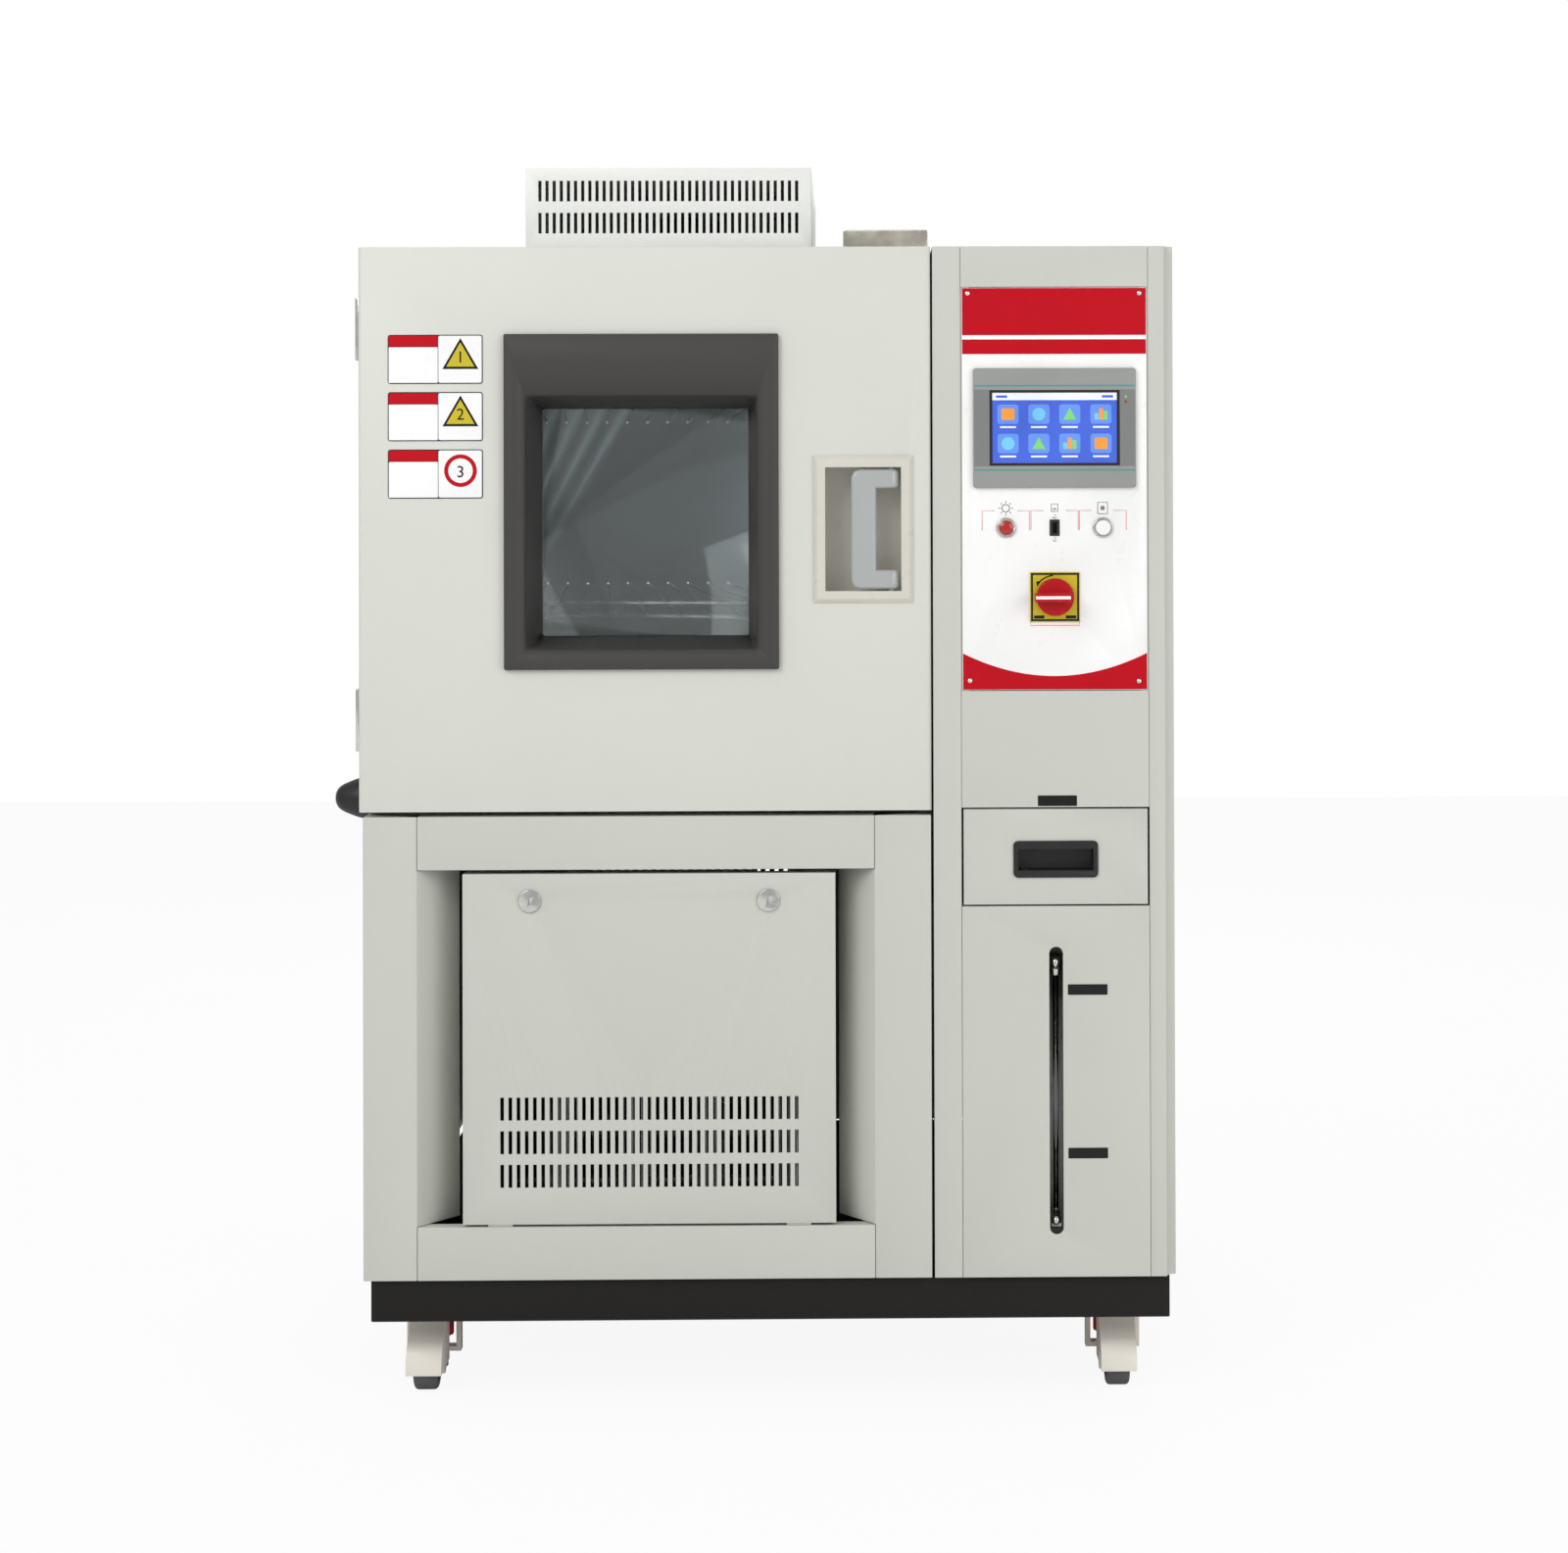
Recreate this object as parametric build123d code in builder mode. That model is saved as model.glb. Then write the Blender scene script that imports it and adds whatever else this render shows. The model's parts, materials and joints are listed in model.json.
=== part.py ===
"""Floor-standing environmental test chamber: insulated test space, machine room and control column.

Millimetres, +Z up, the front faces -Y. The origin is the centre of the whole outline on the floor.
"""

import os
from math import cos, pi, sin

from build123d import *

os.makedirs("parts", exist_ok=True)

# Overall cabinet
body_width = 995.0
body_depth = 950.0
body_top = 1416.0
body_bottom = 152.0
base_height = 52.0
base_inset = 8.0
sheet = 2.0
seat_gap = 0.3

# Everything that stands out past the cabinet, which sets where its middle lies
cap_reach = 60.0
cap_radius = 28.0
knob_reach = 34.0
spigot_reach = 35.0

body_left = -(body_width + cap_reach) / 2 + cap_reach
body_right = body_left + body_width
front = -(knob_reach + body_depth + spigot_reach) / 2 + knob_reach
back = front + body_depth
base_bottom = body_bottom - base_height

# Door
door_width = 701.0
door_height = 692.0
door_overhang = 5.0
door_depth = 80.0
door_seal_gap = 4.0
door_corner = 5.0
door_left = body_left - door_overhang
door_right = door_left + door_width
door_bottom = body_top - door_height
door_back = front + door_depth

# Control column and lower frame
column_gap = 2.5
column_left = door_right + column_gap
column_post_left = 34.5
column_post_right = 32.0
column_corner = 12.0
under_door_gap = 6.0
lower_top = door_bottom - under_door_gap
lower_post_left = 65.5
lower_post_right = 70.0
lower_header = 65.0
lower_rail = 65.0
seam = 0.6
niche_depth = 60.0
niche_slant = 45.0
panel_left = column_left + column_post_left
panel_right = body_right - column_post_right

# Test space
room_width = 400.0
room_height = 500.0
room_middle = body_left + 341.5
wall = 97.0
room_bottom = door_bottom + (door_height - room_height) / 2
room_top = room_bottom + room_height
room_left = room_middle - room_width / 2
room_right = room_middle + room_width / 2
room_front = door_back + door_seal_gap
liner_depth = 530.0
room_back = room_front + liner_depth
foam_back = room_back + wall
foam_right = column_left - sheet


def slab(x_span, y_span, z_span, mode=Mode.ADD):
    """A rectangular block between two X, two Y and two Z values."""
    middle = (sum(x_span) / 2, sum(y_span) / 2, sum(z_span) / 2)
    with Locations(middle):
        Box(x_span[1] - x_span[0], y_span[1] - y_span[0], z_span[1] - z_span[0], mode=mode)


def around(middle, size):
    """The two ends of a length set about its middle."""
    return (middle - size / 2, middle + size / 2)


def rod(centre, radius, length, direction, mode=Mode.ADD):
    """A round bar that starts at a point and runs along a direction."""
    with Locations(Plane(origin=centre, z_dir=direction)):
        Cylinder(radius, length, align=(Align.CENTER, Align.CENTER, Align.MIN), mode=mode)


def save(piece, name):
    """Label one finished piece and write its file."""
    piece.label = name
    export_step(piece, f"parts/{name}.step")


# Welded base: four rails, a cross member and the machine room's floor
base_left = body_left + base_inset
base_right = body_right - base_inset
base_front = front + base_inset
base_back = back - base_inset
rail_width = 50.0
rail_wall = 3.0
floor_sheet = 3.0
rail_top = body_bottom - floor_sheet
with BuildPart() as base_frame:
    slab((base_left, base_right), (base_front, base_front + rail_width), (base_bottom, rail_top))
    slab((base_left, base_right), (base_back - rail_width, base_back), (base_bottom, rail_top))
    for rail_x in (base_left, base_right - rail_width, around(column_left, rail_width)[0]):
        slab(
            (rail_x, rail_x + rail_width),
            (base_front + rail_width, base_back - rail_width),
            (base_bottom, rail_top),
        )
    for rail_y in (base_front, base_back - rail_width):
        slab(
            (base_left + rail_wall, base_right - rail_wall),
            (rail_y + rail_wall, rail_y + rail_width - rail_wall),
            (base_bottom + rail_wall, rail_top - rail_wall),
            Mode.SUBTRACT,
        )
    slab((base_left, base_right), (base_front, base_back), (rail_top, body_bottom))
save(base_frame.part, "base_frame")

# Levelling casters: a fixed top plate, a swivelling fork with its wheel, and a screw foot with its hand wheel
caster_inset_x = 60.0
caster_inset_y = 95.0
plate_size = 76.0
plate_thickness = 4.0
plate_bolt_spacing = 58.0
plate_bolt_radius = 3.5
race_radius = 26.0
race_height = 6.0
wheel_radius = 31.0
wheel_width = 29.0
wheel_trail = 30.0
wheel_edge = 5.0
axle_radius = 5.0
axle_clearance = 0.08
fork_width = 44.0
fork_gap = 32.0
hood_clearance = 4.0
hood_wall = 4.0
foot_offset = 36.0
stem_radius = 6.0
stem_clearance = 0.1
pad_radius = 17.0
pad_height = 12.0
pad_lift = 10.0
foot_travel = 8.0
hand_wheel_radius = 24.0
hand_wheel_height = 14.0
hand_wheel_bottom = 50.0
hand_wheel_teeth = 16
hand_wheel_notch = 2.2
housing_radius = 34.0
housing_wall = 6.0
housing_bottom = 30.0
ear_width = 16.0
fork_top = base_bottom - plate_thickness - race_height
fork_plate = 8.0
arm_bottom = fork_top - fork_plate
caster_x = {"left": base_left + caster_inset_x, "right": base_right - caster_inset_x}
caster_y = {"front": base_front + caster_inset_y, "rear": base_back - caster_inset_y}
caster_spots = [(side, end) for end in caster_y for side in caster_x]

with BuildPart() as caster_plates:
    for side, end in caster_spots:
        middle = (caster_x[side], caster_y[end])
        with BuildSketch(Plane.XY.offset(base_bottom - plate_thickness)):
            with Locations(middle):
                RectangleRounded(plate_size, plate_size, 8)
                with GridLocations(plate_bolt_spacing, plate_bolt_spacing, 2, 2):
                    Circle(plate_bolt_radius, mode=Mode.SUBTRACT)
        extrude(amount=plate_thickness)
        with BuildSketch(Plane.XY.offset(fork_top + seat_gap)):
            with Locations(middle):
                Circle(race_radius)
        extrude(amount=race_height - seat_gap)
save(caster_plates.part, "caster_plates")


def caster_fork(x, y):
    """Die-cast fork: hood over the wheel, two legs, and behind it the housing of the screw foot."""
    axle_y = y - wheel_trail
    hood_radius = wheel_radius + hood_clearance
    with BuildPart() as fork:
        with BuildSketch(Plane.YZ.offset(x - fork_width / 2)):
            with Locations((axle_y, wheel_radius)):
                Circle(hood_radius + hood_wall)
            with BuildLine():
                Polyline(
                    (axle_y - hood_wall, wheel_radius),
                    (axle_y + hood_radius + hood_wall, wheel_radius),
                    (axle_y + hood_radius + hood_wall, arm_bottom),
                    (y + race_radius, arm_bottom),
                    (y + race_radius, fork_top),
                    (y - race_radius, fork_top),
                    (axle_y - hood_radius, wheel_radius + hood_radius * 0.45),
                    close=True,
                )
            make_face()
            with Locations((axle_y, wheel_radius - hood_radius)):
                Rectangle(4 * hood_radius, 2 * (hood_radius - axle_radius), mode=Mode.SUBTRACT)
            with Locations((axle_y, wheel_radius)):
                Circle(axle_radius * 2.4)
        extrude(amount=fork_width)
        with BuildSketch(Plane.YZ.offset(x - fork_gap / 2)):
            with Locations((axle_y, wheel_radius)):
                Circle(hood_radius)
            with Locations((axle_y, wheel_radius - hood_radius)):
                Rectangle(2 * hood_radius, 2 * hood_radius)
        extrude(amount=fork_gap, mode=Mode.SUBTRACT)
        with BuildSketch(Plane.XY.offset(arm_bottom)):
            with Locations((x, y)):
                Circle(race_radius + 2)
            with Locations((x, y + foot_offset)):
                Circle(housing_radius)
        extrude(amount=fork_plate)
        for ear in (-1, 1):
            ear_x = x + ear * (housing_radius - housing_wall / 2)
            slab(
                around(ear_x, housing_wall),
                around(y + foot_offset, ear_width),
                (housing_bottom, arm_bottom),
            )
        slab(
            around(x, 2 * housing_radius),
            around(y + foot_offset, ear_width),
            (housing_bottom, housing_bottom + housing_wall),
        )
        rod(
            (x, y + foot_offset, housing_bottom - 1),
            stem_radius + stem_clearance,
            fork_top - housing_bottom + 2,
            (0, 0, 1),
            Mode.SUBTRACT,
        )
        rod((x - fork_width / 2, axle_y, wheel_radius), axle_radius, fork_width, (1, 0, 0))
    return fork.part


def caster_wheel(x, y):
    """Rubber-tyred wheel with a hub bore for the fork's axle."""
    axle_y = y - wheel_trail
    with BuildPart() as wheel:
        with BuildSketch(Plane.YZ.offset(x - wheel_width / 2)):
            with Locations((axle_y, wheel_radius)):
                Circle(wheel_radius)
                Circle(axle_radius + axle_clearance, mode=Mode.SUBTRACT)
        extrude(amount=wheel_width)
        rims = wheel.edges().filter_by(GeomType.CIRCLE).group_by(SortBy.RADIUS)[-1]
        fillet(rims, wheel_edge)
        for face_x, direction in ((x - wheel_width / 2, 1), (x + wheel_width / 2, -1)):
            with BuildSketch(Plane(origin=(face_x, axle_y, wheel_radius), z_dir=(direction, 0, 0))):
                Circle(wheel_radius * 0.66)
                Circle(wheel_radius * 0.36, mode=Mode.SUBTRACT)
            extrude(amount=wheel_width * 0.12, mode=Mode.SUBTRACT)
    return wheel.part


def caster_foot(x, y):
    """Screw foot: rubber pad, stem and the stop ring at the stem's upper end."""
    foot_y = y + foot_offset
    with BuildPart() as foot:
        with BuildSketch(Plane.XY.offset(pad_lift)):
            with Locations((x, foot_y)):
                Circle(pad_radius)
        extrude(amount=pad_height)
        top_edge = foot.edges().filter_by(GeomType.CIRCLE).sort_by(Axis.Z)[-1]
        chamfer(top_edge, 4)
        rod((x, foot_y, pad_lift + pad_height), stem_radius, arm_bottom - pad_lift - pad_height, (0, 0, 1))
        with BuildSketch(Plane.XY.offset(hand_wheel_bottom)):
            with Locations((x, foot_y)):
                Circle(hand_wheel_radius)
                with PolarLocations(hand_wheel_radius, hand_wheel_teeth):
                    Circle(hand_wheel_notch, mode=Mode.SUBTRACT)
        extrude(amount=hand_wheel_height)
    return foot.part


for side, end in caster_spots:
    x, y = caster_x[side], caster_y[end]
    save(caster_fork(x, y), f"caster_fork_{end}_{side}")
    save(caster_wheel(x, y), f"caster_wheel_{end}_{side}")
    save(caster_foot(x, y), f"caster_foot_{end}_{side}")


# Lower front frame: two posts folded back into slanted cheeks, a header and a bottom rail
opening_left = body_left + lower_post_left
opening_right = door_right - lower_post_right
floor_z = body_bottom
post_depth = 40.0
with BuildPart() as lower_frame:
    for post_edge, inner_edge, way in (
        (body_left, opening_left, 1),
        (door_right - 1, opening_right, -1),
    ):
        with BuildSketch(Plane.XY.offset(floor_z)):
            with BuildLine():
                Polyline(
                    (post_edge, front),
                    (inner_edge, front),
                    (inner_edge + way * niche_slant, front + niche_depth),
                    (inner_edge + way * (niche_slant - sheet), front + niche_depth + sheet),
                    (inner_edge - way * sheet, front + post_depth / 8),
                    (post_edge, front + post_depth),
                    close=True,
                )
            make_face()
        extrude(amount=lower_top - floor_z)
    fillet(lower_frame.edges().filter_by(Axis.Z).sort_by(Axis.X)[0], sheet)
    for rail_span in (
        (floor_z, floor_z + lower_rail + seam),
        (lower_top - lower_header - seam, lower_top),
    ):
        slab((opening_left, opening_right), (front, front + 2 * niche_depth), rail_span, Mode.SUBTRACT)
    slab(
        (opening_left + seam, opening_right - seam),
        (front, front + sheet),
        (lower_top - lower_header, lower_top),
    )
    slab(
        (opening_left + seam, opening_right - seam),
        (front + sheet, front + post_depth),
        (lower_top - sheet, lower_top),
    )
    slab(
        (opening_left + seam, opening_right - seam),
        (front, front + sheet),
        (floor_z, floor_z + lower_rail),
    )
    slab(
        (opening_left + seam, opening_right - seam),
        (front + sheet, front + 10 * sheet),
        (floor_z + lower_rail - sheet, floor_z + lower_rail),
    )
save(lower_frame.part, "lower_frame")

# Tilting cover of the machine room, slotted, with two key locks
cover_gap = 3.0
cover_width = 456.0
cover_middle = body_left + 349.5
cover_bottom = floor_z + lower_rail + cover_gap
cover_top = lower_top - lower_header - cover_gap - 2
cover_depth = 40.0
slot_pitch = 10.0
slot_count = 37
slot_width = 4.4
slot_height = 28.0
slot_rows = 3
slot_row_pitch = 41.0
slot_middle_z = 320.0
lock_spacing = 292.0
lock_z = 615.0
lock_hole = 9.0
lock_length = 26.0
cam_width = 14.0
cam_length = 44.0
cover_left = cover_middle - cover_width / 2
cover_right = cover_middle + cover_width / 2
lock_x = {"left": cover_middle - lock_spacing / 2, "right": cover_middle + lock_spacing / 2}
with BuildPart() as cover_panel:
    slab((cover_left, cover_right), (front, front + sheet), (cover_bottom, cover_top))
    for side_x in (cover_left, cover_right - sheet):
        slab((side_x, side_x + sheet), (front + sheet, front + cover_depth), (cover_bottom, cover_top))
    slab(
        (cover_left + sheet, cover_right - sheet),
        (front + sheet, front + cover_depth),
        (cover_top - sheet, cover_top),
    )
    for row in range(slot_rows):
        row_z = slot_middle_z + (row - (slot_rows - 1) / 2) * slot_row_pitch
        with Locations((cover_middle, front + sheet / 2, row_z)):
            with GridLocations(slot_pitch, slot_pitch, slot_count, 1):
                Box(slot_width, 3 * sheet, slot_height, mode=Mode.SUBTRACT)
    for x in around(cover_middle, cover_width * 0.8):
        slab(
            around(x, 30),
            (front + sheet, front + 6 * sheet),
            (floor_z + lower_rail + seat_gap, cover_bottom + sheet),
        )
    for x in lock_x.values():
        rod((x, front - 1, lock_z), lock_hole, 2 * sheet, (0, 1, 0), Mode.SUBTRACT)
        slab(
            (x - cam_width, x + cam_length),
            (front + lock_length - 4, front + cover_depth + 1),
            (cover_top - 2 * sheet, cover_top + 1),
            Mode.SUBTRACT,
        )
save(cover_panel.part, "cover_panel")

lock_flange = 14.0
lock_flange_depth = 3.0
lock_body = 8.9
key_slot = 1.6
for side, x in lock_x.items():
    with BuildPart() as lock:
        rod((x, front, lock_z), lock_flange, lock_flange_depth, (0, -1, 0))
        chamfer(lock.edges().sort_by(Axis.Y)[0], 1)
        rod((x, front, lock_z), lock_body, lock_length, (0, 1, 0))
        slab(around(x, key_slot), (front - lock_flange_depth, front), around(lock_z, 8), Mode.SUBTRACT)
        slab(
            (x - cam_width / 2, x + cam_length),
            (front + lock_length, front + lock_length + 3),
            around(lock_z, cam_width),
        )
    save(lock.part, f"lock_{side}")

# Outer casing: left side down to the base, roof and deck of the test space, and the wall beside the column
port_cap_y = front + 160.0
port_cap_z = 727.0
cap_stem = 20.0
roof_front = room_front
shaft_radius = 8.0
shaft_hole = 12.0
motor_x = body_left + 368.5
duct_depth = 130.0
duct_front = room_back - duct_depth
motor_y = duct_front + duct_depth / 2
with BuildPart() as chamber_casing:
    slab((body_left, body_left + sheet), (front + post_depth, back - sheet), (floor_z, lower_top))
    slab((body_left, body_left + sheet), (roof_front, back - sheet), (lower_top, body_top))
    slab((column_left - sheet, column_left), (roof_front, back - sheet), (floor_z, body_top))
    for deck_span in ((body_top - sheet, body_top), (lower_top, door_bottom)):
        slab((body_left + sheet, column_left - sheet), (roof_front, back - sheet), deck_span)
    rod((body_left - 1, port_cap_y, port_cap_z), cap_stem, 2 * sheet, (1, 0, 0), Mode.SUBTRACT)
    rod((motor_x, motor_y, body_top - 2 * sheet), shaft_hole, 4 * sheet, (0, 0, 1), Mode.SUBTRACT)
save(chamber_casing.part, "chamber_casing")

with BuildPart() as side_port_cap:
    with BuildSketch(Plane.XY):
        with BuildLine():
            Line((0, 0), (cap_radius, 0))
            Line((cap_radius, 0), (cap_radius, 8))
            Spline(
                (cap_radius, 8),
                (cap_radius * 0.72, cap_reach * 0.72),
                (0, cap_reach),
                tangents=[(0, 1), (-1, 0)],
            )
            Line((0, cap_reach), (0, 0))
        make_face()
    revolve(axis=Axis.Y)
    rod((0, 0, 0), cap_stem - seat_gap, sheet, (0, -1, 0))
cap_plane = Plane(origin=(body_left, port_cap_y, port_cap_z), x_dir=(0, 1, 0), z_dir=(0, 0, 1))
save(cap_plane.location * side_port_cap.part, "side_port_cap")

# Rear panel with its condenser outlet slots and the drain spigot's hole
drain_x = body_left + 160.0
drain_z = floor_z + 60.0
drain_radius = 8.0
drain_hole = 12.0
vent_slot_width = 6.0
vent_slot_length = 60.0
vent_pitch = 14.0
vent_count = 22
vent_rows = 4
vent_row_pitch = 75.0
condenser_middle_x = cover_middle
condenser_middle_z = 360.0
with BuildPart() as rear_panel:
    slab((body_left, body_right), (back - sheet, back), (floor_z, body_top))
    for row in range(vent_rows):
        row_z = condenser_middle_z + 60 + (row - (vent_rows - 1) / 2) * vent_row_pitch
        with Locations((condenser_middle_x, back - sheet / 2, row_z)):
            with GridLocations(vent_pitch, vent_pitch, vent_count, 1):
                Box(vent_slot_width, 3 * sheet, vent_slot_length, mode=Mode.SUBTRACT)
    rod((drain_x, back - 2 * sheet, drain_z), drain_hole, 3 * sheet, (0, 1, 0), Mode.SUBTRACT)
save(rear_panel.part, "rear_panel")

# Insulation slabs, stainless liner with its shelf rails, and the frame round the opening
surround_depth = 4.0
foam_front = room_front + surround_depth
foam_left = body_left + sheet
foam_top = body_top - sheet
liner_left = room_left - sheet
liner_right = room_right + sheet
liner_bottom = room_bottom - sheet
liner_top = room_top + sheet
with BuildPart() as insulation:
    slab((foam_left, foam_right), (foam_front, foam_back), (door_bottom, liner_bottom))
    slab((foam_left, foam_right), (foam_front, foam_back), (liner_top, foam_top))
    slab((foam_left, liner_left), (foam_front, foam_back), (liner_bottom, liner_top))
    slab((liner_right, foam_right), (foam_front, foam_back), (liner_bottom, liner_top))
    slab((liner_left, liner_right), (room_back + sheet, foam_back), (liner_bottom, liner_top))
    rod((motor_x, motor_y, liner_top - 1), shaft_hole, wall * 2, (0, 0, 1), Mode.SUBTRACT)
save(insulation.part, "insulation")

shelf_z = {"upper": 1196.0, "lower": 1000.0}
wire_radius = 2.0
wire_lift = 3.2
shelf_rail_width = 10.0
shelf_rail_thickness = 2.0
with BuildPart() as chamber_liner:
    slab((liner_left, liner_right), (room_front, room_back + sheet), (liner_bottom, liner_top))
    slab((room_left, room_right), (room_front, room_back), (room_bottom, room_top), Mode.SUBTRACT)
    for z in shelf_z.values():
        rail_z = z - wire_radius - seat_gap
        for rail_span in (
            (room_left, room_left + shelf_rail_width),
            (room_right - shelf_rail_width, room_right),
        ):
            slab(rail_span, (room_front + 20, duct_front), (rail_z - shelf_rail_thickness, rail_z))
    rod((motor_x, motor_y, room_top - 1), shaft_hole, 2 * sheet, (0, 0, 1), Mode.SUBTRACT)
save(chamber_liner.part, "chamber_liner")

with BuildPart() as door_surround:
    slab((foam_left, foam_right), (room_front, foam_front), (door_bottom, foam_top))
    slab((liner_left, liner_right), (room_front - 1, foam_front + 1), (liner_bottom, liner_top), Mode.SUBTRACT)
save(door_surround.part, "door_surround")

# Wire shelves on the liner's rails
shelf_side_gap = 3.0
shelf_front_gap = 30.0
shelf_wires = 15
cross_wires = 4
shelf_left = room_left + shelf_side_gap
shelf_right = room_right - shelf_side_gap
shelf_front = room_front + shelf_front_gap
shelf_back = duct_front - shelf_front_gap
with BuildPart() as wire_shelves:
    for z in shelf_z.values():
        for x in (shelf_left + wire_radius, shelf_right - wire_radius):
            rod((x, shelf_front, z), wire_radius, shelf_back - shelf_front, (0, 1, 0))
        cross_step = (shelf_back - shelf_front - 2 * wire_radius) / (cross_wires - 1)
        for index in range(cross_wires):
            y = shelf_front + wire_radius + index * cross_step
            start = (shelf_left + wire_radius, y, z)
            rod(start, wire_radius, shelf_right - shelf_left - 2 * wire_radius, (1, 0, 0))
        wire_step = (shelf_right - shelf_left - 2 * wire_radius) / (shelf_wires + 1)
        for index in range(1, shelf_wires + 1):
            start = (shelf_left + wire_radius + index * wire_step, shelf_front, z + wire_lift)
            rod(start, wire_radius, shelf_back - shelf_front, (0, 1, 0))
save(wire_shelves.part, "wire_shelves")

# Air path behind the baffle: baffle, cooling coil, heater and centrifugal fan with its motor on the roof
baffle_slot = 60.0
with BuildPart() as air_duct_panel:
    slab((room_left, room_right), (duct_front, duct_front + sheet), (room_bottom + 40, room_top))
    with Locations((room_middle, duct_front + sheet / 2, room_top - 60)):
        with GridLocations(20, 20, 15, 1):
            Box(10, 3 * sheet, baffle_slot, mode=Mode.SUBTRACT)
    for x in (room_left, room_right - sheet):
        slab((x, x + sheet), (duct_front + sheet, room_back), (room_bottom + 40, room_bottom + 60))
save(air_duct_panel.part, "air_duct_panel")

coil_width = 320.0
coil_depth = 60.0
coil_height = 170.0
coil_fins = 24
coil_tubes = 4
tube_radius = 5.0
coil_bottom = room_bottom + 62.0
coil_y = room_back - 12.0 - coil_depth / 2
with BuildPart() as evaporator:
    with Locations((room_middle, coil_y, coil_bottom + coil_height / 2)):
        with GridLocations(coil_width / (coil_fins - 1), 1, coil_fins, 1):
            Box(1.2, coil_depth, coil_height)
    for index in range(coil_tubes):
        tube_z = coil_bottom + (index + 0.5) * coil_height / coil_tubes
        rod((room_middle - coil_width / 2 - 10, coil_y, tube_z), tube_radius, coil_width + 20, (1, 0, 0))
    bracket = (room_width - coil_width) / 2 + 2
    for x in (room_left, room_right - bracket):
        slab((x, x + bracket), (coil_y, room_back), (coil_bottom + 40, coil_bottom + 43))
save(evaporator.part, "evaporator")

heater_bars = 3
heater_pitch = 30.0
heater_z = coil_bottom + coil_height + 40.0
with BuildPart() as heater:
    for index in range(heater_bars):
        bar_z = heater_z + index * heater_pitch
        rod((room_middle - 150, coil_y, bar_z), 6, 300, (1, 0, 0))
    for x in (room_middle - 153, room_middle + 150):
        slab((x, x + 3), (coil_y - 10, room_back), (heater_z - 10, heater_z + 2 * heater_pitch + 10))
save(heater.part, "heater")

fan_radius = 55.0
fan_height = 36.0
fan_blades = 10
fan_top = room_top - 14.0
motor_radius = 48.0
motor_height = 84.0
shaft_clearance = 0.08
with BuildPart() as circulation_fan:
    rod((motor_x, motor_y, fan_top - 2), fan_radius, 2, (0, 0, 1))
    rod((motor_x, motor_y, fan_top - fan_height), 12, fan_height, (0, 0, 1))
    with BuildSketch(Plane.XY.offset(fan_top - fan_height)):
        with Locations((motor_x, motor_y)):
            Circle(fan_radius)
            Circle(fan_radius - 14, mode=Mode.SUBTRACT)
    extrude(amount=2)
    with BuildSketch(Plane.XY.offset(fan_top - fan_height)):
        with Locations((motor_x, motor_y)):
            with PolarLocations(fan_radius - 8, fan_blades):
                Rectangle(14, 2, rotation=35)
    extrude(amount=fan_height)
    rod((motor_x, motor_y, fan_top), shaft_radius, body_top + 40 - fan_top, (0, 0, 1))
save(circulation_fan.part, "circulation_fan")

with BuildPart() as fan_motor:
    slab(around(motor_x, 110), around(motor_y, 110), (body_top, body_top + 5))
    rod((motor_x, motor_y, body_top + 5), motor_radius, motor_height - 5, (0, 0, 1))
    fillet(fan_motor.edges().filter_by(GeomType.CIRCLE).sort_by(Axis.Z)[-1], 6)
    rod((motor_x, motor_y, body_top - 1), shaft_radius + shaft_clearance, 42, (0, 0, 1), Mode.SUBTRACT)
save(fan_motor.part, "fan_motor")

# Slotted cover of the fan motor, and the stainless junction cover beside it
vent_box_width = 360.0
vent_box_height = 109.0
vent_box_front = front + 110.0
vent_box_depth = 540.0
vent_box_pitch = 9.0
vent_box_slots = 37
vent_box_slot_width = 4.1
vent_box_slot_height = 26.0
vent_box_rows = (80.0, 39.5)
vent_box_back = vent_box_front + vent_box_depth
vent_box_x = around(motor_x, vent_box_width)
with BuildPart() as motor_cover:
    slab(vent_box_x, (vent_box_front, vent_box_back), (body_top, body_top + vent_box_height))
    slab(
        (vent_box_x[0] + sheet, vent_box_x[1] - sheet),
        (vent_box_front + sheet, vent_box_back - sheet),
        (body_top, body_top + vent_box_height - sheet),
        Mode.SUBTRACT,
    )
    for row_height in vent_box_rows:
        with Locations((motor_x, vent_box_front + sheet / 2, body_top + row_height)):
            with GridLocations(vent_box_pitch, 1, vent_box_slots, 1):
                Box(vent_box_slot_width, 3 * sheet, vent_box_slot_height, mode=Mode.SUBTRACT)
save(motor_cover.part, "motor_cover")

junction_left = body_left + 589.0
junction_width = 108.0
junction_height = 34.0
junction_front = front + 150.0
junction_depth = 160.0
with BuildPart() as junction_cover:
    slab(
        (junction_left, junction_left + junction_width),
        (junction_front, junction_front + junction_depth),
        (body_top, body_top + junction_height),
    )
    fillet(junction_cover.edges().filter_by(Axis.Y).group_by(Axis.Z)[-1], 3)
    slab(
        (junction_left + 1.5, junction_left + junction_width - 1.5),
        (junction_front + 1.5, junction_front + junction_depth - 1.5),
        (body_top, body_top + junction_height - 1.5),
        Mode.SUBTRACT,
    )
save(junction_cover.part, "junction_cover")

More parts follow.
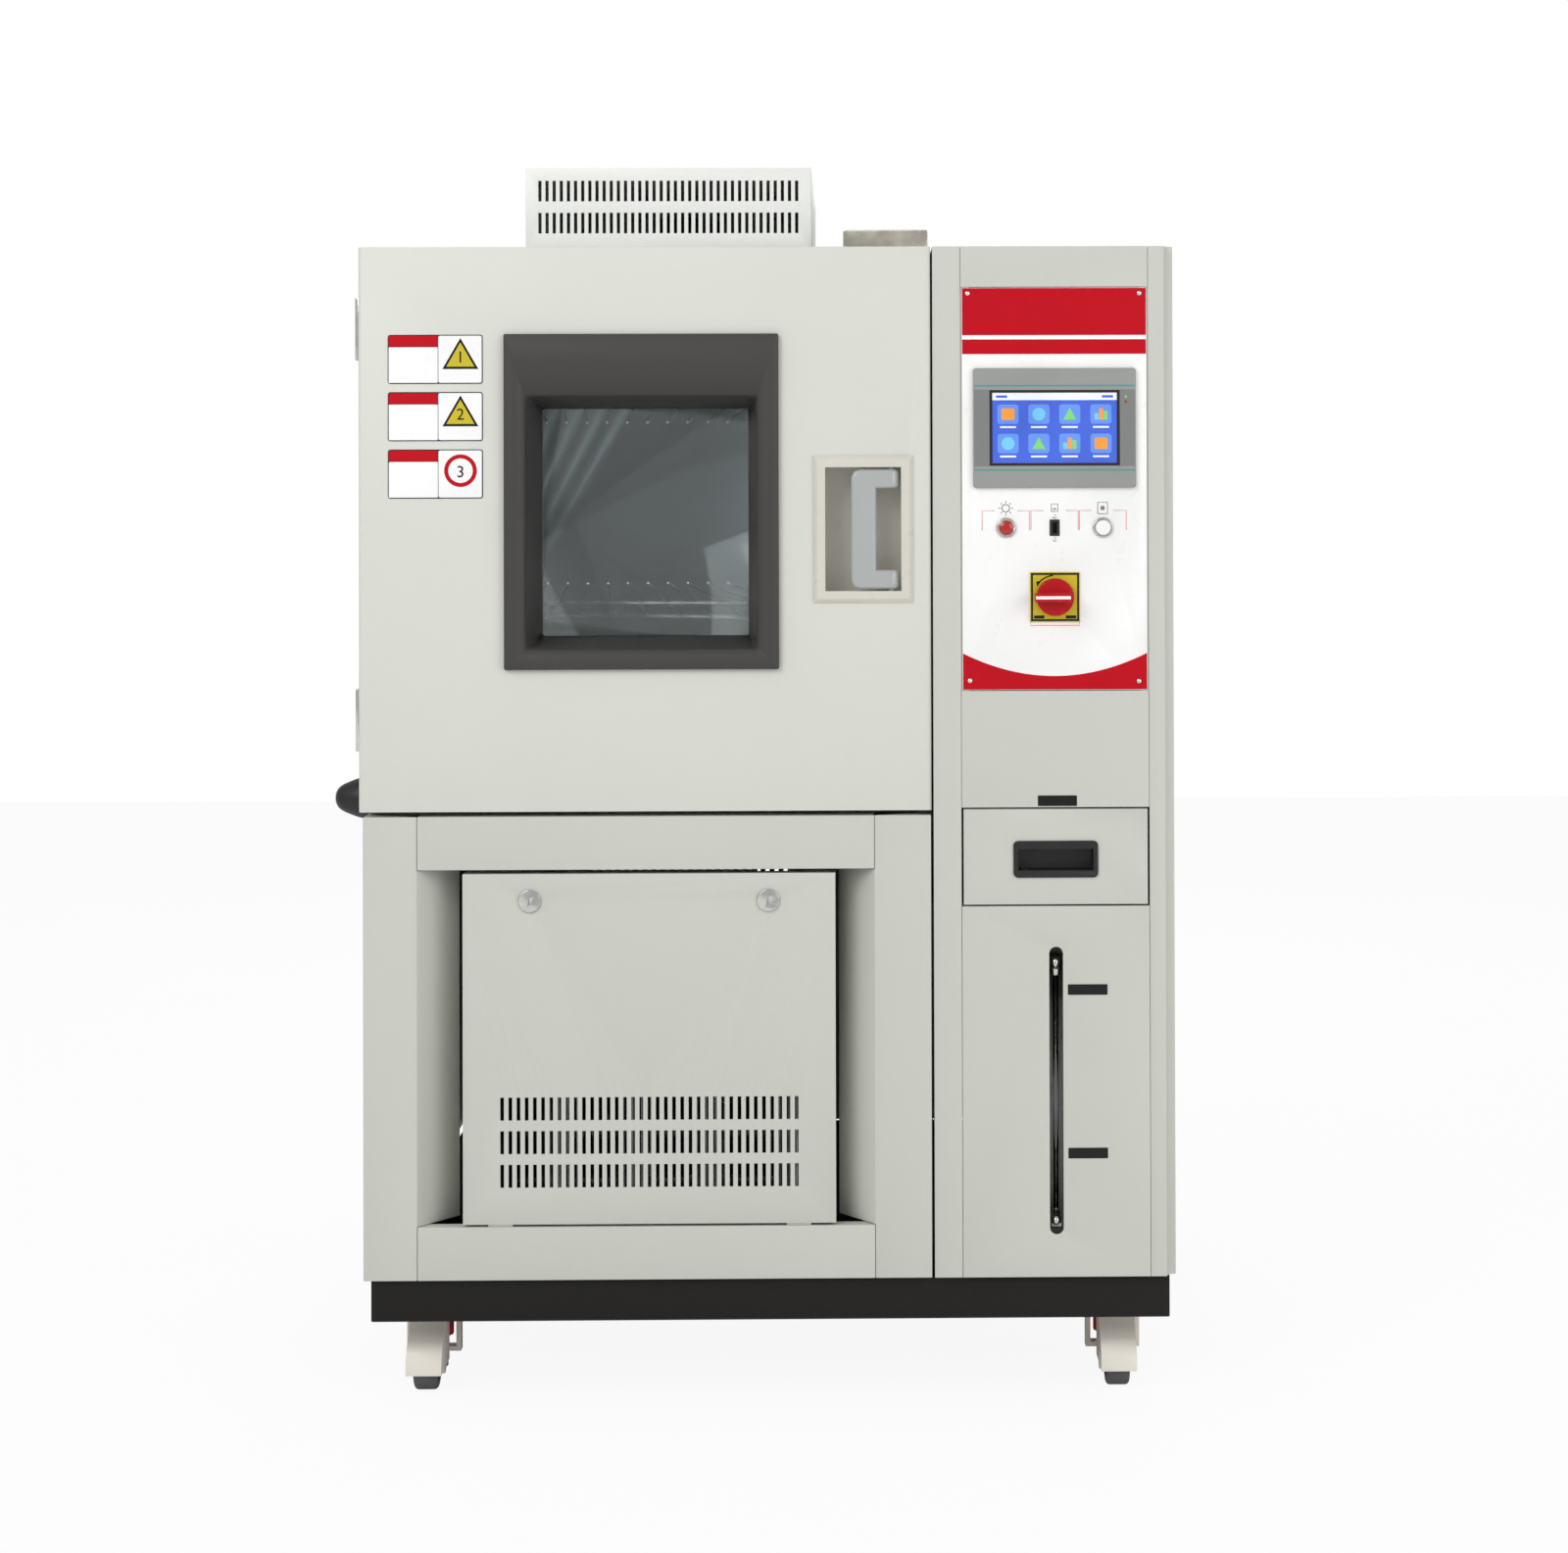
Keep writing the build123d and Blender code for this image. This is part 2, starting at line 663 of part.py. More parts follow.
# Machine room: condenser with its fan, compressor, steam boiler and drain pipe
condenser_width = 360.0
condenser_height = 300.0
condenser_depth = 60.0
condenser_front = front + 110.0
condenser_wall = 3.0
condenser_fins = 30
condenser_tubes = 5
duct_radius = 132.0
shroud_depth = 70.0
condenser_x = around(condenser_middle_x, condenser_width)
condenser_z = (floor_z, floor_z + condenser_height)
condenser_back = condenser_front + condenser_depth
fan_axis_z = floor_z + condenser_height / 2
with BuildPart() as condenser:
    slab(condenser_x, (condenser_front, condenser_back + shroud_depth), condenser_z)
    slab(
        (condenser_x[0] + condenser_wall, condenser_x[1] - condenser_wall),
        (condenser_front - 1, condenser_back + shroud_depth - condenser_wall),
        (condenser_z[0] + condenser_wall, condenser_z[1] - condenser_wall),
        Mode.SUBTRACT,
    )
    shroud_back = condenser_back + shroud_depth
    rod((condenser_middle_x, shroud_back - 10, fan_axis_z), duct_radius, 20, (0, 1, 0), Mode.SUBTRACT)
    with Locations((condenser_middle_x, condenser_front + condenser_depth / 2, fan_axis_z)):
        with GridLocations(condenser_width / (condenser_fins + 1), 1, condenser_fins, 1):
            Box(1.2, condenser_depth, condenser_height - condenser_wall)
    for index in range(condenser_tubes):
        tube_z = condenser_z[0] + (index + 0.5) * condenser_height / condenser_tubes
        slab(
            (condenser_x[0], condenser_x[1]),
            around(condenser_front + condenser_depth / 2, 10),
            around(tube_z, 10),
        )
    slab(around(condenser_middle_x, 24), (shroud_back, shroud_back + 60), (floor_z, fan_axis_z))
    rod((condenser_middle_x, shroud_back, fan_axis_z), 36, 60, (0, 1, 0))
    rod((condenser_middle_x, shroud_back - 1, fan_axis_z), 5.08, 50, (0, 1, 0), Mode.SUBTRACT)
save(condenser.part, "condenser")

blade_count = 5
blade_twist = 30.0
with BuildPart() as condenser_fan:
    rod((condenser_middle_x, shroud_back - 32, fan_axis_z), 30, 28, (0, 1, 0))
    for index in range(blade_count):
        turn = 2 * pi * index / blade_count
        spoke = Plane(
            origin=(condenser_middle_x, shroud_back - 18, fan_axis_z),
            x_dir=(cos(turn), 0, sin(turn)),
            z_dir=(0, 1, 0),
        )
        with Locations(spoke):
            with Locations(Location((74, 0, 0), (blade_twist, 0, 0))):
                Box(100, 52, 2.5)
    rod((condenser_middle_x, shroud_back - 5, fan_axis_z), 5, 45, (0, 1, 0))
save(condenser_fan.part, "condenser_fan")

compressor_x = body_left + 200.0
compressor_y = shroud_back + 200.0
compressor_radius = 85.0
compressor_height = 230.0
with BuildPart() as compressor:
    slab(around(compressor_x, 190), around(compressor_y, 190), (floor_z + 14, floor_z + 18))
    for foot_x in around(compressor_x, 150):
        for foot_y in around(compressor_y, 150):
            rod((foot_x, foot_y, floor_z), 14, 14, (0, 0, 1))
    rod((compressor_x, compressor_y, floor_z + 18), compressor_radius, compressor_height, (0, 0, 1))
    fillet(compressor.edges().filter_by(GeomType.CIRCLE).sort_by(Axis.Z)[-1], 40)
save(compressor.part, "compressor")

boiler_x = body_left + 480.0
boiler_y = compressor_y
boiler_radius = 60.0
boiler_height = 210.0
with BuildPart() as humidifier:
    rod((boiler_x, boiler_y, floor_z), boiler_radius, boiler_height, (0, 0, 1))
    fillet(humidifier.edges().filter_by(GeomType.CIRCLE).sort_by(Axis.Z)[-1], 12)
    rod((boiler_x, boiler_y, floor_z + boiler_height), 10, 40, (0, 0, 1))
    rod((boiler_x, boiler_y + boiler_radius - 8, floor_z + 50), 22, 30, (0, 1, 0))
save(humidifier.part, "humidifier")

drain_flange = 18.0
drain_bore = 5.5
barb_length = 30.0
with BuildPart() as drain_pipe:
    rod((drain_x, back, drain_z), drain_flange, spigot_reach - barb_length, (0, 1, 0))
    rod((drain_x, back - 40, drain_z), drain_radius, 40 + spigot_reach, (0, 1, 0))
    rod((drain_x, back - 41, drain_z), drain_bore, 80, (0, 1, 0), Mode.SUBTRACT)
save(drain_pipe.part, "drain_pipe")

# Control column: posts, fascia panels with the gauge slot, and the drawer's runners
plate_bottom = 870.0
plate_top = 1366.0
plate_sheet = 2.0
column_wall = 2.0
drawer_bottom = 608.0
drawer_top = 725.0
drawer_gap = 2.0
gauge_x = (panel_left + panel_right) / 2
gauge_slot_width = 17.0
gauge_slot_bottom = 204.0
gauge_slot_top = 556.0
column_frame_depth = 30.0
drawer_length = 380.0
drawer_x = (panel_left + drawer_gap, panel_right - drawer_gap)
runner_height = 12.0
with BuildPart() as column_frame:
    slab((column_left, panel_left - seam), (front, front + column_frame_depth), (floor_z, body_top))
    with BuildSketch(Plane.XY.offset(floor_z)):
        with BuildLine():
            Line((panel_right + seam, front), (body_right - column_corner, front))
            RadiusArc(
                (body_right - column_corner, front), (body_right, front + column_corner), column_corner
            )
            Line((body_right, front + column_corner), (body_right, front + column_frame_depth))
            Line((body_right, front + column_frame_depth), (panel_right + seam, front + column_frame_depth))
            Line((panel_right + seam, front + column_frame_depth), (panel_right + seam, front))
        make_face()
    extrude(amount=body_top - floor_z)
    for strip in ((panel_left - 2 * seam, panel_left + 10), (panel_right - 10, panel_right + 2 * seam)):
        slab(
            strip,
            (front + column_wall + seat_gap, front + 2 * column_wall + seat_gap),
            (drawer_top + drawer_gap, body_top - sheet),
        )
    slab((panel_left, panel_right), (front, front + column_wall), (plate_top, body_top))
    slab((column_left, body_right - sheet), (front + column_frame_depth, back - sheet), (body_top - sheet, body_top))
    slab((panel_left, panel_right), (front + column_wall, front + column_frame_depth), (body_top - sheet, body_top))
    slab((panel_left, panel_right), (front, front + column_wall), (drawer_top + drawer_gap, plate_bottom))
    slab((panel_left, panel_right), (front, front + column_wall), (floor_z, drawer_bottom - drawer_gap))
    with BuildSketch(Plane.XZ.offset(-front + 1)):
        with Locations((gauge_x, (gauge_slot_bottom + gauge_slot_top) / 2)):
            SlotOverall(gauge_slot_top - gauge_slot_bottom, gauge_slot_width, rotation=90)
    extrude(amount=-3 * column_wall, mode=Mode.SUBTRACT)
    for rail_span in (
        (column_left, drawer_x[0] + 12),
        (drawer_x[1] - 12, body_right - sheet),
    ):
        slab(
            rail_span,
            (front + column_frame_depth, front + drawer_length + 20),
            (drawer_bottom - runner_height - seat_gap, drawer_bottom - seat_gap),
        )
save(column_frame.part, "column_frame")

with BuildPart() as right_side_panel:
    slab((body_right - sheet, body_right), (front + column_frame_depth, back - sheet), (floor_z, body_top))
    for row in range(4):
        with Locations((body_right - sheet / 2, back - 160, 320 + row * 40)):
            with GridLocations(1, 16, 1, 12):
                Box(3 * sheet, 5, 28, mode=Mode.SUBTRACT)
save(right_side_panel.part, "right_side_panel")

# Printed control plate and what it carries
control_x = (panel_left + panel_right) / 2
control_width = 227.0
screen_width = 200.0
screen_height = 147.0
screen_middle_z = 1192.5
screen_proud = 6.0
screen_body_depth = 34.0
display_width = 154.0
display_height = 86.0
lamp_row_z = 1070.0
lamp_spacing = 59.5
lamp_hole = 11.0
lamp_ring = 12.6
usb_width = 12.0
usb_height = 20.0
switch_z = 985.0
switch_plate_size = 61.0
switch_hole = 9.0
plate_front = front
with BuildPart() as control_plate:
    slab(around(control_x, control_width), (plate_front, plate_front + plate_sheet), (plate_bottom + 1, plate_top - 1))
    slab(
        around(control_x, screen_width - 12),
        (plate_front - 1, plate_front + 3 * plate_sheet),
        around(screen_middle_z, screen_height - 12),
        Mode.SUBTRACT,
    )
    for lamp_x in around(control_x, 2 * lamp_spacing):
        rod((lamp_x, plate_front - 1, lamp_row_z), lamp_hole, 2 * plate_sheet, (0, 1, 0), Mode.SUBTRACT)
    slab(
        around(control_x, usb_width),
        (plate_front - 1, plate_front + 2 * plate_sheet),
        around(lamp_row_z, usb_height),
        Mode.SUBTRACT,
    )
    rod((control_x, plate_front - 1, switch_z), switch_hole, 2 * plate_sheet, (0, 1, 0), Mode.SUBTRACT)
save(control_plate.part, "control_plate")

with BuildPart() as touch_panel:
    slab(
        around(control_x, screen_width),
        (plate_front - screen_proud, plate_front),
        around(screen_middle_z, screen_height),
    )
    fillet(touch_panel.edges().filter_by(Axis.Y), 3.5)
    chamfer(touch_panel.faces().sort_by(Axis.Y)[0].edges(), 1)
    slab(
        around(control_x, screen_width - 13),
        (plate_front, plate_front + screen_body_depth),
        around(screen_middle_z, screen_height - 13),
    )
    slab(
        around(control_x, display_width),
        (plate_front - screen_proud, plate_front - screen_proud + 1),
        around(screen_middle_z, display_height),
        Mode.SUBTRACT,
    )
save(touch_panel.part, "touch_panel")

with BuildPart() as usb_socket:
    slab(
        around(control_x, usb_width - 0.6),
        (plate_front - 1.5, plate_front + 22),
        around(lamp_row_z, usb_height - 0.6),
    )
    slab(
        around(control_x, 5.2),
        (plate_front - 2, plate_front + 12),
        around(lamp_row_z, 13),
        Mode.SUBTRACT,
    )
save(usb_socket.part, "usb_socket")

lamp_x = control_x - lamp_spacing
button_x = control_x + lamp_spacing
lens_radius = 9.2
button_radius = 9.2
button_travel = 2.5
button_clearance = 0.3
button_proud = 4.5
with BuildPart() as switch_plate:
    slab(
        around(control_x, switch_plate_size),
        (plate_front - 3, plate_front),
        around(switch_z, switch_plate_size),
    )
    chamfer(switch_plate.faces().sort_by(Axis.Y)[0].edges(), 1)
    slab(around(control_x, 40), (plate_front + plate_sheet, plate_front + 44), around(switch_z, 44))
    rod((control_x, plate_front, switch_z), switch_hole - seat_gap, plate_sheet, (0, 1, 0))
    rod((control_x, plate_front - 4, switch_z), 5.08, 40, (0, 1, 0), Mode.SUBTRACT)
save(switch_plate.part, "switch_plate")

with BuildPart() as light_button:
    rod((button_x, plate_front - button_proud, lamp_row_z), button_radius, button_proud + 14, (0, 1, 0))
    fillet(light_button.edges().filter_by(GeomType.CIRCLE).sort_by(Axis.Y)[0], 1.2)
save(light_button.part, "light_button")

with BuildPart() as lamp_bezels:
    for x in (lamp_x, button_x):
        rod((x, plate_front, lamp_row_z), lamp_ring, 2.5, (0, -1, 0))
    chamfer(lamp_bezels.faces().sort_by(Axis.Y)[0:2].edges(), 1)
    for x in (lamp_x, button_x):
        rod((x, plate_front, lamp_row_z), lamp_hole - seat_gap, 26, (0, 1, 0))
    rod((lamp_x, plate_front - 4, lamp_row_z), lens_radius, 4, (0, 1, 0))
    rod(
        (button_x, plate_front - 3, lamp_row_z),
        button_radius + button_clearance,
        3 + 14 + button_travel + seat_gap,
        (0, 1, 0),
        Mode.SUBTRACT,
    )
save(lamp_bezels.part, "lamp_bezels")

knob_radius = 23.0
knob_base = 10.0
knob_face = plate_front - 3 - 0.4
bar_width = 11.0
bar_overhang = 3.0
with BuildPart() as switch_knob:
    rod((control_x, knob_face, switch_z), knob_radius, knob_base, (0, -1, 0))
    chamfer(switch_knob.edges().filter_by(GeomType.CIRCLE).sort_by(Axis.Y)[0], 1.5)
    slab(
        (control_x - knob_radius - bar_overhang, control_x + knob_radius - 5),
        (plate_front - knob_reach, knob_face - knob_base),
        around(switch_z, bar_width),
    )
    fillet(switch_knob.faces().sort_by(Axis.Y)[0].edges(), 2)
    rod((control_x, knob_face, switch_z), 5, 34, (0, 1, 0))
save(switch_knob.part, "switch_knob")

# Water drawer with its black pull, the tank behind it and the level gauge
drawer_wall = 2.0
pull_width = 104.0
pull_height = 45.0
pull_inside_width = 92.0
pull_inside_height = 22.0
pull_depth = 26.0
pull_z = 663.5
pull_proud = 2.0
tray_height = 60.0
tray_bottom = drawer_bottom + 1
tray_gap = 14.0
with BuildPart() as water_drawer:
    slab(drawer_x, (front, front + drawer_wall), (drawer_bottom, drawer_top))
    tray_x = (drawer_x[0] + tray_gap, drawer_x[1] - tray_gap)
    slab(tray_x, (front + drawer_wall, front + drawer_length), (tray_bottom, tray_bottom + tray_height))
    slab(
        (tray_x[0] + drawer_wall, tray_x[1] - drawer_wall),
        (front + 2 * drawer_wall + pull_depth, front + drawer_length - drawer_wall),
        (tray_bottom + drawer_wall, tray_bottom + tray_height + 1),
        Mode.SUBTRACT,
    )
    for side_x in ((drawer_x[0] + 0.5, tray_x[0]), (tray_x[1], drawer_x[1] - 0.5)):
        slab(side_x, (front + column_frame_depth + 1, front + drawer_length), (drawer_bottom, drawer_bottom + 3))
    slab(
        around(control_x, pull_width - 6),
        (front - 1, front + drawer_wall + pull_depth),
        around(pull_z, pull_height - 6),
        Mode.SUBTRACT,
    )
save(water_drawer.part, "water_drawer")

with BuildPart() as drawer_pull:
    slab(around(control_x, pull_width), (front - pull_proud, front), around(pull_z, pull_height))
    fillet(drawer_pull.edges().filter_by(Axis.Y), 6)
    slab(
        around(control_x, pull_width - 7),
        (front, front + pull_depth),
        around(pull_z, pull_height - 7),
    )
    slab(
        around(control_x, pull_inside_width),
        (front - pull_proud - 1, front + pull_depth - 2),
        around(pull_z - 0.5, pull_inside_height + 4),
        Mode.SUBTRACT,
    )
save(drawer_pull.part, "drawer_pull")

tank_width = 180.0
tank_depth = 260.0
tank_height = 330.0
tank_front = front + 60.0
with BuildPart() as water_tank:
    slab(around(gauge_x, tank_width), (tank_front, tank_front + tank_depth), (floor_z, floor_z + tank_height))
    fillet(water_tank.edges().filter_by(Axis.Z), 10)
    rod((gauge_x + 40, tank_front + 200, floor_z + tank_height), 20, 25, (0, 0, 1))
save(water_tank.part, "water_tank")

gauge_tube_radius = 3.5
gauge_y = front + 14.0
fitting_top = 541.0
fitting_bottom = 212.0
fitting_size = 12.0
with BuildPart() as gauge_tube:
    rod((gauge_x, gauge_y, fitting_bottom + 17), gauge_tube_radius, fitting_top - fitting_bottom - 34, (0, 0, 1))
    rod(
        (gauge_x, gauge_y, fitting_bottom + 16),
        gauge_tube_radius - 1.2,
        fitting_top - fitting_bottom - 32,
        (0, 0, 1),
        Mode.SUBTRACT,
    )
save(gauge_tube.part, "gauge_tube")

with BuildPart() as gauge_fittings:
    for end, way in ((fitting_top, -1), (fitting_bottom, 1)):
        block_z = end + way * fitting_size / 2
        slab(around(gauge_x, fitting_size), (gauge_y - 6, tank_front), around(block_z, fitting_size))
        with BuildSketch(Plane((gauge_x, gauge_y, end + way * fitting_size), z_dir=(0, 0, way))) as nut:
            RegularPolygon(6.5, 6)
        extrude(nut.sketch, amount=10, taper=8)
        rod((gauge_x, gauge_y, end + way * fitting_size * 1.4), gauge_tube_radius, 30, (0, 0, way), Mode.SUBTRACT)
save(gauge_fittings.part, "gauge_fittings")

# Door: painted skin, foamed inner door with its plug, deep window, seal, handle and hinges
window_middle = room_middle
window_width = 336.0
window_bottom = 898.0
window_top = 1309.0
window_proud = 8.0
window_wall = 4.0
mouth_width = 286.0
mouth_height = 312.0
mouth_bottom = 922.0
glass_width = 257.0
glass_height = 283.0
glass_depth = 72.0
pane = 4.0
mouth_middle_z = mouth_bottom + mouth_height / 2
tunnel_width = mouth_width + 2 * window_wall
tunnel_height = mouth_height + 2 * window_wall
plug_gap = 12.0
plug_depth = 18.0
handle_x = body_left + 613.0
handle_z = 1069.0
bezel_width = 123.0
bezel_height = 181.0
bezel_proud = 6.0
cup_width = 93.0
cup_height = 152.0
cup_depth = 45.0
cup_wall = 3.0

with BuildPart() as door_skin:
    slab((door_left, door_right), (front, door_back), (door_bottom, body_top))
    fillet(door_skin.edges().filter_by(Axis.Z).group_by(Axis.Y)[0], door_corner)
    slab(
        (door_left + sheet, door_right - sheet),
        (front + sheet, door_back + 1),
        (door_bottom + sheet, body_top - sheet),
        Mode.SUBTRACT,
    )
    slab(
        around(window_middle, tunnel_width + seat_gap),
        (front - 1, front + 2 * sheet),
        around(mouth_middle_z, tunnel_height + seat_gap),
        Mode.SUBTRACT,
    )
    slab(
        around(handle_x, cup_width + 2 * cup_wall + seat_gap),
        (front - 1, front + 2 * sheet),
        around(handle_z, cup_height + 2 * cup_wall + seat_gap),
        Mode.SUBTRACT,
    )
save(door_skin.part, "door_skin")

with BuildPart() as door_pan:
    slab(
        (door_left + sheet, door_right - sheet),
        (front + sheet, door_back),
        (door_bottom + sheet, body_top - sheet),
    )
    slab(
        (room_left + plug_gap, room_right - plug_gap),
        (door_back, room_front + plug_depth),
        (room_bottom + plug_gap, room_top - plug_gap),
    )
    slab(
        around(window_middle, tunnel_width + seat_gap),
        (front, front + glass_depth + pane + seat_gap),
        around(mouth_middle_z, tunnel_height + seat_gap),
        Mode.SUBTRACT,
    )
    slab(
        around(window_middle, glass_width),
        (front, room_front + plug_depth + 1),
        around(mouth_middle_z, glass_height),
        Mode.SUBTRACT,
    )
    slab(
        around(handle_x, cup_width + 2 * cup_wall + seat_gap),
        (front, front + cup_depth + cup_wall + seat_gap),
        around(handle_z, cup_height + 2 * cup_wall + 10),
        Mode.SUBTRACT,
    )
save(door_pan.part, "door_pan")

with BuildPart() as window_frame:
    slab(around(window_middle, window_width), (front - window_proud, front), (window_bottom, window_top))
    fillet(window_frame.edges().filter_by(Axis.Y), 2)
    chamfer(window_frame.faces().sort_by(Axis.Y)[0].edges(), 1.5)
    slab(
        around(window_middle, tunnel_width),
        (front, front + glass_depth),
        around(mouth_middle_z, tunnel_height),
    )
    with BuildSketch(Plane.XZ.offset(window_proud - front)) as mouth:
        with Locations((window_middle, mouth_middle_z)):
            RectangleRounded(mouth_width, mouth_height, 3)
    with BuildSketch(Plane.XZ.offset(-front - glass_depth)) as throat:
        with Locations((window_middle, mouth_middle_z)):
            RectangleRounded(glass_width, glass_height, 3)
    loft(sections=[mouth.sketch, throat.sketch], mode=Mode.SUBTRACT)
save(window_frame.part, "window_frame")

with BuildPart() as window_glass:
    slab(
        around(window_middle, tunnel_width - 2),
        (front + glass_depth, front + glass_depth + pane),
        around(mouth_middle_z, tunnel_height - 2),
    )
    slab(
        around(window_middle, glass_width - 2 * seat_gap),
        (room_front + plug_depth - 2 - pane, room_front + plug_depth - 2),
        around(mouth_middle_z, glass_height - 2 * seat_gap),
    )
save(window_glass.part, "window_glass")

seal_width = 26.0
seal_margin = 6.0
with BuildPart() as door_gasket:
    with BuildSketch(Plane.XZ.offset(-door_back)):
        with Locations((room_middle, (room_bottom + room_top) / 2)):
            RectangleRounded(
                room_width + 2 * (seal_margin + seal_width), room_height + 2 * (seal_margin + seal_width), 20
            )
            RectangleRounded(room_width + 2 * seal_margin, room_height + 2 * seal_margin, 8, mode=Mode.SUBTRACT)
    extrude(amount=-(door_seal_gap - seat_gap))
save(door_gasket.part, "door_gasket")

pivot_radius = 4.0
pivot_clearance = 0.08
lever_back = 10.0
pivot_x = handle_x + 34.0
pivot_y = front + 5.0
with BuildPart() as handle_bezel:
    slab(around(handle_x, bezel_width), (front - bezel_proud, front), around(handle_z, bezel_height))
    chamfer(handle_bezel.faces().sort_by(Axis.Y)[0].edges(), 5)
    slab(
        around(handle_x, cup_width + 2 * cup_wall),
        (front, front + cup_depth + cup_wall),
        around(handle_z, cup_height + 2 * cup_wall),
    )
    slab(
        around(handle_x, cup_width),
        (front - bezel_proud - 1, front + cup_depth),
        around(handle_z, cup_height),
        Mode.SUBTRACT,
    )
    rod(
        (pivot_x, pivot_y, handle_z - cup_height / 2 - cup_wall - 1),
        pivot_radius + pivot_clearance,
        cup_height + 2 * cup_wall + 2,
        (0, 0, 1),
        Mode.SUBTRACT,
    )
save(handle_bezel.part, "handle_bezel")

lever_height = 147.0
lever_grip = 31.0
lever_arm = 23.5
lever_reach = 49.0
with BuildPart() as handle_lever:
    with BuildSketch(Plane.XY.offset(handle_z - lever_height / 2)):
        with Locations((pivot_x, pivot_y)):
            Circle(lever_back)
        with Locations((pivot_x - lever_reach / 2, pivot_y)):
            Rectangle(lever_reach, 2 * lever_back)
    extrude(amount=lever_height)
    slab(
        (pivot_x - lever_reach + lever_grip, pivot_x + lever_back + 1),
        around(pivot_y, 4 * lever_back),
        around(handle_z, lever_height - 2 * lever_arm),
        Mode.SUBTRACT,
    )
    fillet(handle_lever.edges().filter_by(Axis.Y).group_by(Axis.X)[0], 12)
    fillet(handle_lever.faces().sort_by(Axis.Y)[0].edges(), 5)
    pin_length = (cup_height - lever_height) / 2 + cup_wall
    for way in (-1, 1):
        rod((pivot_x, pivot_y, handle_z + way * lever_height / 2), pivot_radius, pin_length, (0, 0, way))
save(handle_lever.part, "handle_lever")

hinge_z = {"lower": 834.0, "upper": 1318.0}
hinge_height = 77.0
hinge_x = door_left - 6.0
hinge_y = door_back + 2.0
knuckle_radius = 5.0
hinge_pin = 2.5
hinge_block = 10.0
with BuildPart() as door_hinges:
    for z in hinge_z.values():
        slab((door_left - hinge_block, door_left), (hinge_y - 42, hinge_y - 12), around(z, hinge_height))
        slab((hinge_x - 3, door_left), (hinge_y - 12, hinge_y - 5), (z + seat_gap, z + hinge_height / 2))
        slab((hinge_x - 3, hinge_x + 3), (hinge_y - 5, hinge_y), (z + seat_gap, z + hinge_height / 2))
        rod((hinge_x, hinge_y, z + seat_gap), knuckle_radius, hinge_height / 2 - seat_gap, (0, 0, 1))
        rod((hinge_x, hinge_y, z), hinge_pin + 0.08, hinge_height, (0, 0, 1), Mode.SUBTRACT)
save(door_hinges.part, "door_hinges")

with BuildPart() as hinge_brackets:
    for z in hinge_z.values():
        slab((body_left - hinge_block, body_left), (hinge_y + 10, hinge_y + 42), around(z, hinge_height))
        slab((hinge_x - 3, hinge_x + 8), (hinge_y + 6, hinge_y + 10), (z - hinge_height / 2, z))
        slab((hinge_x - 3, hinge_x + 3), (hinge_y, hinge_y + 6), (z - hinge_height / 2, z))
        rod((hinge_x, hinge_y, z - hinge_height / 2), knuckle_radius, hinge_height / 2, (0, 0, 1))
        rod((hinge_x, hinge_y, z), hinge_pin, hinge_height / 2 - 3, (0, 0, 1))
save(hinge_brackets.part, "hinge_brackets")
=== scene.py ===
"""Looks of the environmental test chamber: finishes, printed signs and small fasteners over the fixed frame.

The frame is in metres, +Z up, and its front faces -Y. Places on the front are in millimetres, across from the
cabinet's left edge and up from the floor.
"""

import json
from math import cos, pi, radians, sin

import bmesh
import bpy
from mathutils import Matrix, Vector


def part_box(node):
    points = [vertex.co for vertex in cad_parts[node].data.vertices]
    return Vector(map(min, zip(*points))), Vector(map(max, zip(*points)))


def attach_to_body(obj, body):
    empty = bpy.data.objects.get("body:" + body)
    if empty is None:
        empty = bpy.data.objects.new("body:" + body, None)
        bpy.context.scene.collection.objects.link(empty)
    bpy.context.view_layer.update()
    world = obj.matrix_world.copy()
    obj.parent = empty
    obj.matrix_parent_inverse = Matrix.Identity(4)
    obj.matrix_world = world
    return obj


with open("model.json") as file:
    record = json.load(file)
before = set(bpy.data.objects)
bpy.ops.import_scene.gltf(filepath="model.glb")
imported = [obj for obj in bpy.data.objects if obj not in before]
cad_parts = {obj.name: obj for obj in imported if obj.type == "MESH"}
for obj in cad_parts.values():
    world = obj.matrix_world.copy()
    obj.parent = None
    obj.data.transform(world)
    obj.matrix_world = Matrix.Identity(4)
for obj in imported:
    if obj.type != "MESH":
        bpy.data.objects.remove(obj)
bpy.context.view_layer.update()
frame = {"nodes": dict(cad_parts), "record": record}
nodes = frame["nodes"]
MM = 0.001
FULL_TURN = 2 * pi


# Materials

def srgb(red, green, blue):
    """A colour given as 0 to 255 display values, as the linear values that shaders take."""
    linear = []
    for value in (red, green, blue):
        share = value / 255
        linear.append(share / 12.92 if share <= 0.04045 else ((share + 0.055) / 1.055) ** 2.4)
    return (*linear, 1.0)


def shade(colour, factor):
    """The same colour, darker or lighter."""
    return (colour[0] * factor, colour[1] * factor, colour[2] * factor, 1.0)


def grey(value):
    return (value, value, value, 1.0)


def new_material(name):
    """An empty node material, with its node tree and its Principled shader."""
    material = bpy.data.materials.new(name)
    material.use_nodes = True
    tree = material.node_tree
    return material, tree, tree.nodes["Principled BSDF"]


def set_gloss(material, level):
    material.node_tree.nodes["Principled BSDF"].inputs["Specular IOR Level"].default_value = level


